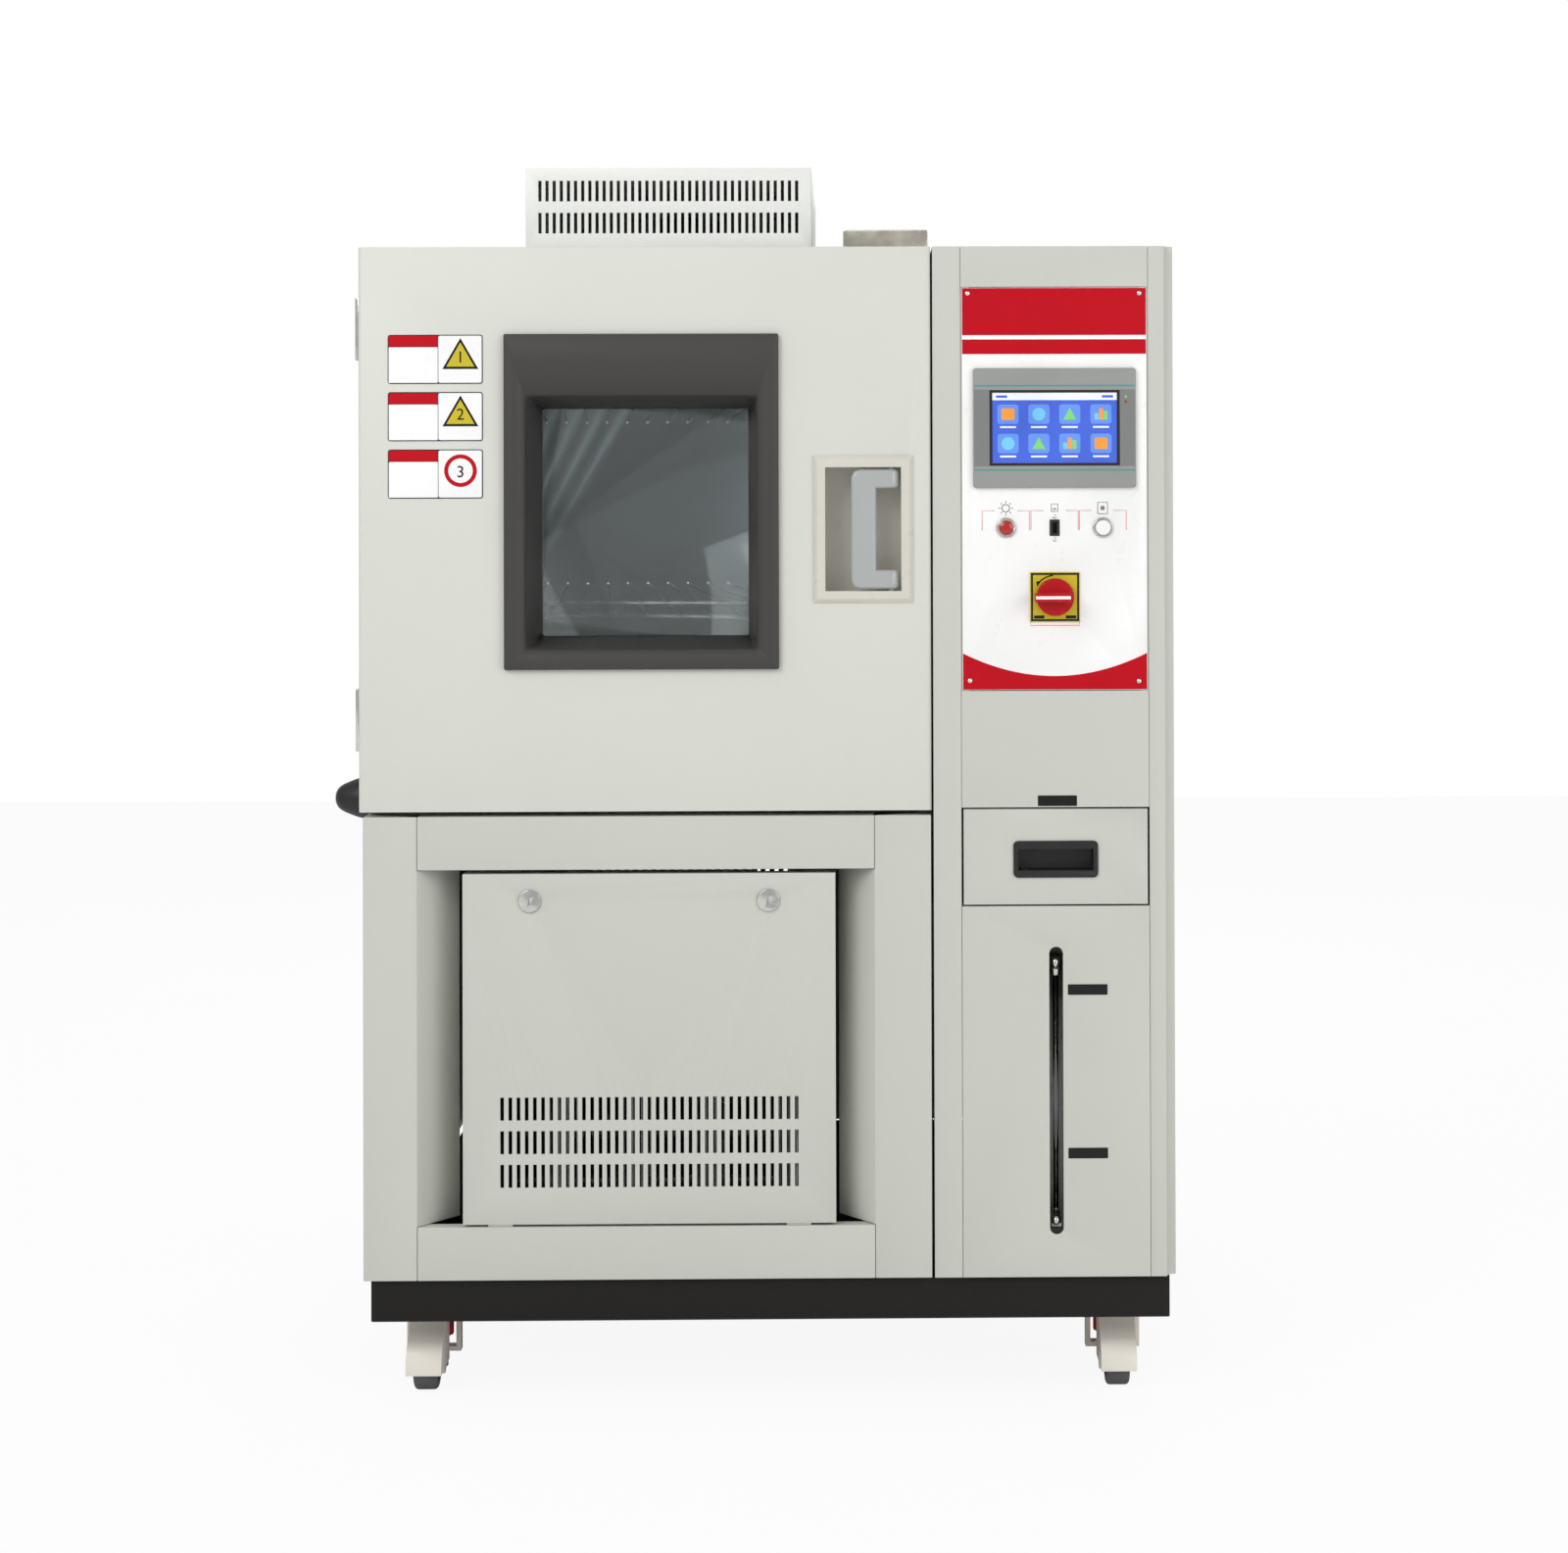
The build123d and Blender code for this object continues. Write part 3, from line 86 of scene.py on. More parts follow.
def noise(tree, scale, detail, stretch=(1, 1, 1)):
    """Noise in object space, stretched along the axes."""
    place = tree.nodes.new("ShaderNodeTexCoord")
    mapping = tree.nodes.new("ShaderNodeMapping")
    mapping.inputs["Scale"].default_value = stretch
    texture = tree.nodes.new("ShaderNodeTexNoise")
    texture.inputs["Scale"].default_value = scale
    texture.inputs["Detail"].default_value = detail
    tree.links.new(place.outputs["Object"], mapping.inputs["Vector"])
    tree.links.new(mapping.outputs["Vector"], texture.inputs["Vector"])
    return texture.outputs["Fac"]


def ramp(tree, value, low, high, first=0.3, last=0.7):
    """Values from first to last become the colours from low to high."""
    node = tree.nodes.new("ShaderNodeValToRGB")
    for element, place, colour in zip(node.color_ramp.elements, (first, last), (low, high)):
        element.position = place
        element.color = colour
    tree.links.new(value, node.inputs["Fac"])
    return node.outputs["Color"]


def bump(tree, shader, height, strength, distance):
    node = tree.nodes.new("ShaderNodeBump")
    node.inputs["Strength"].default_value = strength
    node.inputs["Distance"].default_value = distance
    tree.links.new(height, node.inputs["Height"])
    tree.links.new(node.outputs["Normal"], shader.inputs["Normal"])


def maths(tree, operation, *values):
    """A Math node over sockets and numbers."""
    node = tree.nodes.new("ShaderNodeMath")
    node.operation = operation
    for socket, value in zip(node.inputs, values):
        if isinstance(value, (int, float)):
            socket.default_value = value
        else:
            tree.links.new(value, socket)
    return node.outputs[0]


def painted(name, colour, roughness=0.42, peel=0.25, gloss=0.4):
    """Powder coat: orange peel, faint mottling, and handling marks in the gloss."""
    material, tree, shader = new_material(name)
    mottled = ramp(tree, noise(tree, 3, 4), shade(colour, 0.985), shade(colour, 1.015))
    tree.links.new(mottled, shader.inputs["Base Color"])
    marked = ramp(tree, noise(tree, 9, 4), grey(roughness - 0.05), grey(roughness + 0.05))
    tree.links.new(marked, shader.inputs["Roughness"])
    bump(tree, shader, noise(tree, 420, 2), peel, 0.4 * MM)
    set_gloss(material, gloss)
    return material


def metal(name, colour, roughness, stretch, grain=0.12):
    """Brushed or plated metal, with streaks across the stretched axis."""
    material, tree, shader = new_material(name)
    streaks = noise(tree, 60, 4, stretch)
    tint = ramp(tree, streaks, shade(colour, 0.9), shade(colour, 1.05))
    tree.links.new(tint, shader.inputs["Base Color"])
    uneven = ramp(tree, streaks, grey(roughness - 0.08), grey(roughness + 0.08))
    tree.links.new(uneven, shader.inputs["Roughness"])
    shader.inputs["Metallic"].default_value = 1.0
    bump(tree, shader, streaks, grain, 0.3 * MM)
    return material


def plastic(name, colour, roughness=0.35, texture=0.2, scale=700, coat=0.0):
    """Moulded plastic or print, with a fine texture of the given noise scale."""
    material, tree, shader = new_material(name)
    cloudy = ramp(tree, noise(tree, 6, 3), shade(colour, 0.95), shade(colour, 1.04))
    tree.links.new(cloudy, shader.inputs["Base Color"])
    uneven = ramp(tree, noise(tree, 40, 3), grey(roughness - 0.04), grey(roughness + 0.06))
    tree.links.new(uneven, shader.inputs["Roughness"])
    bump(tree, shader, noise(tree, scale, 2), texture, 0.3 * MM)
    shader.inputs["Coat Weight"].default_value = coat
    return material


def ink(name, colour, roughness=0.35, coat=0.2):
    """Screen print: nearly smooth plastic."""
    return plastic(name, colour, roughness, 0.06, 900, coat)


def clear(name, tint, roughness=0.02):
    """Window glass with faint smears in its gloss."""
    material, tree, shader = new_material(name)
    shader.inputs["Base Color"].default_value = tint
    shader.inputs["Transmission Weight"].default_value = 1.0
    shader.inputs["IOR"].default_value = 1.45
    smear = ramp(tree, noise(tree, 7, 3), grey(roughness), grey(roughness + 0.05), 0.4, 0.8)
    tree.links.new(smear, shader.inputs["Roughness"])
    return material


def glow(name, colour):
    """A lit display surface, with the fine grid of its cells in the gloss."""
    material, tree, shader = new_material(name)
    tint = ramp(tree, noise(tree, 12, 2), shade(colour, 0.9), shade(colour, 1.1))
    tree.links.new(tint, shader.inputs["Base Color"])
    tree.links.new(tint, shader.inputs["Emission Color"])
    shader.inputs["Emission Strength"].default_value = 0.25
    shader.inputs["Roughness"].default_value = 0.25
    bump(tree, shader, noise(tree, 2500, 1), 0.05, 0.1 * MM)
    return material


def striped(name, ground, stripe, up, half_height, front_edge):
    """A moulded piece with a painted stripe along the front of its bar."""
    factor, ground_colour, stripe_colour, result = 0, 6, 7, 2
    material = plastic(name, ground, 0.35, 0.1, 400)
    tree = material.node_tree
    base_colour = tree.nodes["Principled BSDF"].inputs["Base Color"]
    place = tree.nodes.new("ShaderNodeTexCoord")
    parts = tree.nodes.new("ShaderNodeSeparateXYZ")
    tree.links.new(place.outputs["Object"], parts.inputs[0])
    level = maths(tree, "COMPARE", parts.outputs["Z"], up, half_height)
    near = maths(tree, "LESS_THAN", parts.outputs["Y"], front_edge)
    mix = tree.nodes.new("ShaderNodeMix")
    mix.data_type = "RGBA"
    mix.inputs[stripe_colour].default_value = stripe
    tree.links.new(maths(tree, "MULTIPLY", level, near), mix.inputs[factor])
    tree.links.new(base_colour.links[0].from_socket, mix.inputs[ground_colour])
    tree.links.new(mix.outputs[result], base_colour)
    set_gloss(material, 0.25)
    return material


cabinet_paint = painted("cabinet_paint", srgb(203, 204, 196))
liner_steel = metal("liner_steel", srgb(128, 138, 142), 0.42, (1, 1, 8), 0.04)
chrome = metal("chrome", srgb(215, 215, 212), 0.14, (1, 1, 1), 0.02)
black_plastic = plastic("black_plastic", srgb(24, 24, 25), 0.4, 0.5, 500)
red_plastic = plastic("red_plastic", srgb(190, 8, 24), 0.35, 0.1, 400)
white_plastic = plastic("white_plastic", srgb(250, 250, 249), 0.3, 0.1)
set_gloss(red_plastic, 0.25)

finish_of_slot = {
    "cabinet_paint": cabinet_paint,
    "vent_paint": painted("vent_paint", srgb(236, 238, 234), 0.38),
    "base_paint": painted("base_paint", srgb(34, 33, 31), 0.5, 0.35, 0.15),
    "window_paint": painted("window_paint", srgb(70, 68, 67), 0.45, 0.5, 0.25),
    "machine_black": painted("machine_black", srgb(34, 34, 36), 0.3, 0.2, 0.5),
    "caster_paint": painted("caster_paint", srgb(238, 232, 220), 0.4, 0.4),
    "stainless": metal("stainless", srgb(200, 195, 182), 0.3, (1, 40, 1)),
    "aluminium": metal("aluminium", srgb(190, 192, 194), 0.35, (1, 1, 30)),
    "chrome": chrome,
    "foam": plastic("foam", srgb(226, 214, 170), 0.8, 0.8, 120),
    "grey_plastic": plastic("inner_door", srgb(198, 199, 194), 0.45),
    "seal_rubber": plastic("seal_rubber", srgb(170, 170, 162), 0.7, 0.5, 300),
    "cream_plastic": plastic("cream_plastic", srgb(214, 211, 200), 0.3, 0.1, 500, 0.3),
    "lever_plastic": plastic("lever_plastic", srgb(172, 177, 175), 0.2, 0.05, 300, 0.6),
    "yellow_plastic": plastic("yellow_plastic", srgb(205, 186, 22)),
    "wheel_rubber": plastic("wheel_rubber", srgb(88, 88, 87), 0.6, 0.6, 250),
    "control_print": white_plastic,
    "white_plastic": white_plastic,
    "red_plastic": red_plastic,
    "foot_rubber": red_plastic,
    "black_plastic": black_plastic,
    "fan_plastic": black_plastic,
    "glass": clear("window_glass", (0.93, 0.97, 0.97, 1)),
}
own_finish = {
    "door_skin": painted("door_paint", srgb(216, 217, 209)),
    "touch_panel": plastic("panel_plastic", srgb(150, 152, 149), 0.4, 0.25, 900),
    "chamber_liner": liner_steel,
    "air_duct_panel": liner_steel,
    "wire_shelves": chrome,
}

# Each print is the record's slot and the material
white_ink = ("white_plastic", ink("print_white", srgb(250, 250, 250), 0.3))
black_ink = ("black_plastic", ink("print_black", srgb(26, 26, 27)))
red_ink = ("red_plastic", ink("print_red", srgb(192, 8, 28), 0.4, 0.0))
pale_red_ink = ("red_plastic", ink("print_pale_red", srgb(222, 130, 134)))
yellow_ink = ("yellow_plastic", ink("print_yellow", srgb(206, 188, 24)))
teal_ink = ("black_plastic", ink("print_teal", srgb(84, 150, 150)))
grey_ink = ("black_plastic", ink("print_grey_band", srgb(125, 128, 126), 0.4))
for _, material in (red_ink, black_ink):
    set_gloss(material, 0.15)
display_frame = ("black_plastic", plastic("display_border", srgb(18, 18, 20), 0.15, 0.02, 900, 0.5))
lit = {
    "blue": ("glass", glow("display_blue", srgb(64, 96, 204))),
    "tile": ("glass", glow("display_tile", srgb(96, 140, 226))),
    "white": ("glass", glow("display_white", srgb(228, 232, 240))),
    "cyan": ("glass", glow("display_cyan", srgb(110, 190, 230))),
    "orange": ("glass", glow("display_orange", srgb(238, 150, 60))),
    "green": ("glass", glow("display_green", srgb(120, 200, 110))),
}


# Carried-over nodes get their finish, and the ones that show get rounded edges

slot_of_node = {row["node"]: row["material_slot"] for row in frame["record"]["subparts"]}
edge_radius_mm = {
    "base_frame": 1.5, "handle_lever": 1.5,
    "chamber_casing": 1.2, "right_side_panel": 1.2, "lower_frame": 1.2,
    "door_pan": 1.0, "handle_bezel": 1.0, "door_gasket": 1.0,
    "rear_panel": 0.8, "door_skin": 0.8, "column_frame": 0.8, "drawer_pull": 0.8, "motor_cover": 0.8,
    "side_port_cap": 0.8,
    "water_drawer": 0.6, "switch_knob": 0.6, "junction_cover": 0.6, "hinge_brackets": 0.6, "door_hinges": 0.6,
    "cover_panel": 0.5, "door_surround": 0.5, "caster_plates": 0.5,
    "window_glass": 0.4, "touch_panel": 0.4,
    "control_plate": 0.3, "lamp_bezels": 0.3, "light_button": 0.3, "switch_plate": 0.3, "usb_socket": 0.3,
    "lock_left": 0.3, "lock_right": 0.3,
}
for caster_part in ("fork", "foot", "wheel"):
    for corner in ("front_left", "front_right", "rear_left", "rear_right"):
        edge_radius_mm[f"caster_{caster_part}_{corner}"] = 0.6
edge_angle = radians(35)
for node, piece in nodes.items():
    piece.data.materials.clear()
    piece.data.materials.append(own_finish.get(node, finish_of_slot[slot_of_node[node]]))
    for polygon in piece.data.polygons:
        polygon.use_smooth = True
    weld = piece.modifiers.new("weld", "WELD")
    weld.merge_threshold = 2e-6
    if node in edge_radius_mm:
        flat = piece.modifiers.new("flat", "DECIMATE")
        flat.decimate_type = "DISSOLVE"
        flat.angle_limit = radians(0.5)
        bevel = piece.modifiers.new("bevel", "BEVEL")
        bevel.width = edge_radius_mm[node] * MM
        bevel.segments = 2
        bevel.limit_method = "ANGLE"
        bevel.angle_limit = edge_angle
        bevel.harden_normals = True
    piece.data.set_sharp_from_angle(angle=edge_angle)


# Flat shapes on the front, as points in order

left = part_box("chamber_casing")[0].x


def polar(x, z, radius, turn):
    return (x + radius * cos(turn), z + radius * sin(turn))


def rectangle(x0, x1, z0, z1, radius=0.0):
    """A rectangle, with rounded corners if it has a radius."""
    if not radius:
        return [(x0, z0), (x1, z0), (x1, z1), (x0, z1)]
    steps = 4
    corners = ((x1 - radius, z0 + radius, -90), (x1 - radius, z1 - radius, 0),
               (x0 + radius, z1 - radius, 90), (x0 + radius, z0 + radius, 180))
    return [polar(x, z, radius, radians(start + 90 * step / steps))
            for x, z, start in corners for step in range(steps + 1)]


def disc(x, z, radius, steps):
    return [polar(x, z, radius, FULL_TURN * k / steps) for k in range(steps)]


def arc(x, z, radius, width, first, last, steps=24):
    """A strip along an arc, from the first angle to the last, in degrees."""
    turns = [radians(first + (last - first) * k / steps) for k in range(steps + 1)]
    outer = [polar(x, z, radius + width / 2, turn) for turn in turns]
    inner = [polar(x, z, radius - width / 2, turn) for turn in turns]
    return outer + inner[::-1]


def ring(x, z, radius, width):
    return [arc(x, z, radius, width, 0, 180), arc(x, z, radius, width, 180, 360)]


def line(points, width):
    """A strip along a run of straight lines."""
    one, other = [], []
    for k, point in enumerate(points):
        before = Vector(points[max(k - 1, 0)])
        after = Vector(points[min(k + 1, len(points) - 1)])
        along = (after - before).normalized()
        side = Vector((-along.y, along.x)) * width / 2
        one.append(tuple(Vector(point) + side))
        other.append(tuple(Vector(point) - side))
    return one + other[::-1]


def outline(x0, x1, z0, z1, width):
    """A strip along the edges of a rectangle."""
    return line([(x0, z0), (x0, z1), (x1, z1), (x1, z0), (x0, z0)], width)


# Pieces made from them

def attach(piece, body):
    bpy.context.scene.collection.objects.link(piece)
    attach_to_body(piece, body)


def finished(mesh, name, body, paint):
    """The piece that a bmesh becomes, with its normals outwards."""
    slot, material = paint
    bmesh.ops.recalc_face_normals(mesh, faces=mesh.faces)
    data = bpy.data.meshes.new(name)
    mesh.to_mesh(data)
    mesh.free()
    data.materials.append(material)
    attach(bpy.data.objects.new(name, data), body)
    return data


def printed(name, shapes, body, paint, face, height, back=0.0):
    """Flat shapes in one piece, as closed prisms: proud of the face by height, and into it by back."""
    mesh = bmesh.new()
    for points in shapes:
        flat = [(left + across * MM, up * MM) for across, up in points]
        near = [mesh.verts.new((x, face - height * MM, z)) for x, z in flat]
        far = [mesh.verts.new((x, face + back * MM, z)) for x, z in flat]
        mesh.faces.new(near)
        mesh.faces.new(far[::-1])
        for k in range(len(flat)):
            after = (k + 1) % len(flat)
            mesh.faces.new((near[k], far[k], far[after], near[after]))
    mesh.normal_update()
    bmesh.ops.triangulate(mesh, faces=[f for f in mesh.faces if len(f.verts) > 4])
    finished(mesh, name, body, paint)


def numeral(name, text, across, up, size, body, paint, face):
    """A plain number, standing on the front."""
    slot, material = paint
    curve = bpy.data.curves.new(name, "FONT")
    curve.body = text
    curve.size = size * MM
    curve.align_x = "CENTER"
    curve.align_y = "CENTER"
    curve.extrude = 0.1 * MM
    curve.materials.append(material)
    piece = bpy.data.objects.new(name, curve)
    place = Matrix.Translation((left + across * MM, face, up * MM))
    piece.matrix_world = place @ Matrix.Rotation(pi / 2, 4, "X")
    attach(piece, body)


def domed(name, across, up, face, profile, steps, paint, dimple=None):
    """A turned head on the cabinet: a profile of (radius, rise), closed flat or by a dimple at that rise."""
    mesh = bmesh.new()
    rings = []
    for radius, rise in profile:
        circle = [polar(across, up, radius, FULL_TURN * k / steps) for k in range(steps)]
        rings.append([mesh.verts.new((left + x * MM, face - rise * MM, z * MM)) for x, z in circle])
    for outer, inner in zip(rings[:-1], rings[1:]):
        for k in range(steps):
            after = (k + 1) % steps
            mesh.faces.new((outer[k], outer[after], inner[after], inner[k]))
    if dimple is None:
        mesh.faces.new(rings[-1])
    else:
        deep = mesh.verts.new((left + across * MM, face - dimple * MM, up * MM))
        for k in range(steps):
            mesh.faces.new((rings[-1][k], rings[-1][(k + 1) % steps], deep))
    mesh.faces.new(rings[0][::-1])
    data = finished(mesh, name, "cabinet", paint)
    for polygon in data.polygons:
        polygon.use_smooth = True
    if dimple is not None:
        data.set_sharp_from_angle(angle=radians(40))


def screw(name, across, up, radius, rise):
    """A domed screw head with a dimple in the middle."""
    profile = ((radius, 0.0), (0.94 * radius, 0.45 * rise), (0.72 * radius, 0.82 * rise),
               (0.4 * radius, rise))
    domed(name, across, up, plate_face, profile, 24, ("chrome", chrome), 0.35 * rise)


# Three bare sign plates on the door, each with a red header and a numbered mark

door_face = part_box("door_skin")[0].y
sign_left, sign_width, sign_height = 31.5, 116.0, 60.0
sign_right = sign_left + sign_width
sign_split = sign_left + 0.53 * sign_width
sign_rim, sign_joint = 1.2, 0.4
header_foot, ground_top = 14.6, 15.2
mark_x = (sign_split + sign_right) / 2
mark_rise, mark_foot, mark_inner, mark_drop = 22.0, 16.0, 0.78, 2.6
number_size, number_drop = 20.0, 2.0
for count, top in enumerate((1308.5, 1238.3, 1168.0), 1):
    name = f"sign_{count}"
    base = top - sign_height
    cell = (sign_left + sign_rim, sign_split - sign_joint)
    mark_cell = (sign_split + sign_joint, sign_right - sign_rim)
    printed(f"{name}_border", [rectangle(sign_left, sign_right, base, top, 3.0)], "door", black_ink,
            door_face, 0.5, 0.1)
    printed(f"{name}_ground", [rectangle(*cell, base + sign_rim, top - ground_top, 1.0),
                               rectangle(*mark_cell, base + sign_rim, top - sign_rim, 2.0)],
            "door", white_ink, door_face, 0.7)
    printed(f"{name}_header", [rectangle(*cell, top - header_foot, top - sign_rim, 1.0)], "door", red_ink,
            door_face, 0.7)
    mark_z = base + 34.0
    if count == 3:
        printed(f"{name}_mark", ring(mark_x, mark_z, 17.5, 5.0), "door", red_ink, door_face, 0.85)
    else:
        triangle = [(mark_x - mark_rise, mark_z - mark_foot), (mark_x + mark_rise, mark_z - mark_foot),
                    (mark_x, mark_z + mark_rise)]
        centre_z = mark_z - mark_drop
        inner = [(mark_x + (x - mark_x) * mark_inner, centre_z + (z - centre_z) * mark_inner)
                 for x, z in triangle]
        printed(f"{name}_mark_edge", [triangle], "door", black_ink, door_face, 0.8)
        printed(f"{name}_mark", [inner], "door", yellow_ink, door_face, 0.9)
    numeral(f"{name}_number", str(count), mark_x, mark_z - number_drop, number_size, "door", black_ink,
            door_face - 0.95 * MM)


# The printed control plate: red bands, the lowest with a sagging top, and brackets and symbols

plate_low, plate_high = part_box("control_plate")
plate_face = plate_low.y
plate_x0, plate_x1 = (plate_low.x - left) / MM, (plate_high.x - left) / MM
plate_z0, plate_z1 = plate_low.z / MM, plate_high.z / MM
middle = (plate_x0 + plate_x1) / 2
print_margin = 0.5
band_x0, band_x1 = plate_x0 + print_margin, plate_x1 - print_margin
print_height = 0.15
printed("control_band_top", [rectangle(band_x0, band_x1, 1306.6, plate_z1 - print_margin)], "cabinet",
        red_ink, plate_face, print_height)
printed("control_band_second", [rectangle(band_x0, band_x1, 1283.4, 1301.4)], "cabinet",
        red_ink, plate_face, print_height)
sag_high, sag_low, sag_steps = 916.0, 888.0, 32
sagging = []
for step in range(sag_steps + 1):
    share = step / sag_steps
    across = band_x0 + (band_x1 - band_x0) * share
    sagging.append((across, sag_low + (sag_high - sag_low) * (2 * share - 1) ** 2))
foot_corners = [(band_x0, plate_z0 + print_margin), (band_x1, plate_z0 + print_margin)]
printed("control_band_foot", [foot_corners + sagging[::-1]], "cabinet", red_ink, plate_face, print_height)

bracket_top, bracket_drop, bracket_arm, bracket_line = 1091.0, 24.0, 15.0, 0.9
bracket_foot = bracket_top - bracket_drop
for count, (x0, x1) in enumerate(((759, 817), (819, 877), (878.5, 936)), 1):
    sides = [line([(x0, bracket_foot), (x0, bracket_top), (x0 + bracket_arm, bracket_top)], bracket_line),
             line([(x1 - bracket_arm, bracket_top), (x1, bracket_top), (x1, bracket_foot)], bracket_line)]
    printed(f"control_bracket_{count}", sides, "cabinet", pale_red_ink, plate_face, print_height)

# The symbols are a lamp with rays, a port, and a room with its light
symbol_z, lamp_symbol_x, room_symbol_x = 1094.0, 788.0, 907.0
ray_start, ray_end, thin, thick = 6.5, 9.0, 1.0, 1.6
symbols = ring(lamp_symbol_x, symbol_z, 4.6, 1.2)
for angle in range(0, 360, 45):
    ray = [polar(lamp_symbol_x, symbol_z, distance, radians(angle)) for distance in (ray_start, ray_end)]
    symbols.append(line(ray, thin))
symbols.append(outline(middle - 4, middle + 4, 1090, 1099, thin))
symbols.append(line([(middle - 2.2, 1093), (middle + 2.2, 1093)], thick))
symbols.append(outline(room_symbol_x - 6, room_symbol_x + 6, symbol_z - 7, symbol_z + 7, 1.1))
symbols.append(disc(room_symbol_x, symbol_z, 2.8, 16))
printed("control_symbols", symbols, "cabinet", grey_ink, plate_face, print_height + 0.01)
under_x0, under_x1, under_top, under_foot = middle - 30, middle + 30, 955, 950
under = line([(under_x0, under_top), (under_x0, under_foot), (under_x1, under_foot), (under_x1, under_top)],
             bracket_line)
printed("switch_bracket", [under], "cabinet", pale_red_ink, plate_face, print_height)


# Switch: border, turning arrow and two bare labels on its yellow plate, and a white stripe on the knob's bar

switch_z = 985.0
switch_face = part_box("switch_plate")[0].y
end, outer, inner = 29.7, 29.5, 27.1
border = [rectangle(middle - end, middle + end, switch_z + inner, switch_z + outer),
          rectangle(middle - end, middle + end, switch_z - outer, switch_z - inner),
          rectangle(middle - outer, middle - inner, switch_z - inner, switch_z + inner),
          rectangle(middle + inner, middle + outer, switch_z - inner, switch_z + inner)]
printed("switch_border", border, "cabinet", black_ink, switch_face, print_height)
arrow_radius, arrow_start, arrow_end = 26.6, 95, 140
tip_x, tip_z = polar(middle, switch_z, arrow_radius, radians(arrow_end))
arrow = [arc(middle, switch_z, arrow_radius, 1.6, arrow_start, arrow_end, 12),
         [(tip_x + 3.4, tip_z + 2.8), (tip_x - 2.8, tip_z + 2.0), (tip_x - 1.5, tip_z - 4.4)]]
printed("switch_arrow", arrow, "cabinet", black_ink, switch_face, print_height)
label_near, label_far, label_low, label_high = 13, 26, switch_z - 26.4, switch_z - 22.6
printed("switch_labels", [rectangle(middle - label_far, middle - label_near, label_low, label_high, 0.8),
                          rectangle(middle + label_near, middle + label_far, label_low, label_high, 0.8)],
        "cabinet", black_ink, switch_face, print_height)
stripe_half, stripe_edge = 1.9 * MM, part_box("switch_knob")[0].y + 0.4 * MM
nodes["switch_knob"].data.materials[0] = striped("knob_red", srgb(186, 8, 22), srgb(246, 246, 246),
                                                 switch_z * MM, stripe_half, stripe_edge)


# Touch panel: bezel bands, the lit display with its tiles, and two indicator lights

screen_low, screen_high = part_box("touch_panel")
screen_face = screen_low.y
glass_face = screen_face + 1.0 * MM
bezel_x0, bezel_x1 = (screen_low.x - left) / MM + 1.4, (screen_high.x - left) / MM - 1.4
display_x0, display_x1, display_z0, display_z1 = 771.5, 924.5, 1149.4, 1235.8
border_x0, border_x1, border_z0, border_z1 = 768.0, 928.0, 1146.0, 1239.0
band_z0, band_z1 = 1145.5, 1239.5
ground_z1, header_z0 = 1226.4, 1226.6
printed("panel_band", [rectangle(bezel_x0, border_x0, band_z0, band_z1),
                       rectangle(border_x1, bezel_x1, band_z0, band_z1)],
        "cabinet", grey_ink, screen_face, 0.1)
printed("panel_lines", [rectangle(bezel_x0, bezel_x1, 1243.2, 1245.2),
                        rectangle(bezel_x0, bezel_x1, 1139.8, 1141.8)],
        "cabinet", teal_ink, screen_face, 0.1)
printed("display_border", [rectangle(border_x0, display_x0, border_z0, border_z1),
                           rectangle(display_x1, border_x1, border_z0, border_z1),
                           rectangle(display_x0, display_x1, border_z0, display_z0),
                           rectangle(display_x0, display_x1, display_z1, border_z1)],
        "cabinet", display_frame, screen_face, 0.12)
printed("display_ground", [rectangle(display_x0, display_x1, display_z0, ground_z1)], "cabinet", lit["blue"],
        glass_face, 0.3)
printed("display_header", [rectangle(display_x0, display_x1, header_z0, display_z1)], "cabinet", lit["white"],
        glass_face, 0.3)
tiles, marks = [], {"cyan": [], "orange": [], "green": [], "white": []}
tile_half, mark_half = 13.0, 7.0
for row, z in enumerate((1208.4, 1172.4)):
    for column, x in enumerate((790.8, 828.7, 866.6, 904.9)):
        tile_foot = z - tile_half
        low, centre, high = z + 1 - mark_half, z + 1, z + 1 + mark_half
        tiles.append(rectangle(x - tile_half, x + tile_half, tile_foot + 2, z + tile_half, 3.5))
        marks["white"].append(rectangle(x - 10, x + 10, tile_foot - 3.0, tile_foot - 0.8, 0.8))
        kind = ("square", "disc", "triangle", "bars")[(row + column) % 4]
        if kind == "square":
            marks["orange"].append(rectangle(x - 8, x + 8, low, high, 1.5))
        elif kind == "disc":
            marks["cyan"].append(disc(x, centre, 8.0, 24))
        elif kind == "triangle":
            marks["green"].append([(x - 8, low), (x + 8, low), (x, high + 1)])
        else:
            marks["cyan"].append(rectangle(x - 8, x - 3, low, centre + 1, 0.6))
            marks["orange"].append(rectangle(x - 2.4, x + 2.6, low, high, 0.6))
            marks["green"].append(rectangle(x + 3.2, x + 8.2, low, centre + 4, 0.6))
printed("display_tiles", tiles, "cabinet", lit["tile"], glass_face, 0.4)
for colour, shapes in marks.items():
    printed(f"display_marks_{colour}", shapes, "cabinet", lit[colour], glass_face, 0.5)
printed("display_header_marks", [rectangle(776, 790, 1229.5, 1232.5, 1.0),
                                 rectangle(906, 920, 1229.5, 1232.5, 1.0)],
        "cabinet", lit["blue"], glass_face, 0.4)
light_x, light_radius = 935.5, 1.5
green_light = ("red_plastic", lit["green"][1])
for count, (z, paint) in enumerate(((1230.6, green_light), (1224.6, red_ink)), 1):
    printed(f"panel_light_{count}", [disc(light_x, z, light_radius, 16)], "cabinet", paint, screen_face, 0.35)


# Bare label plates of the drawer and the gauge

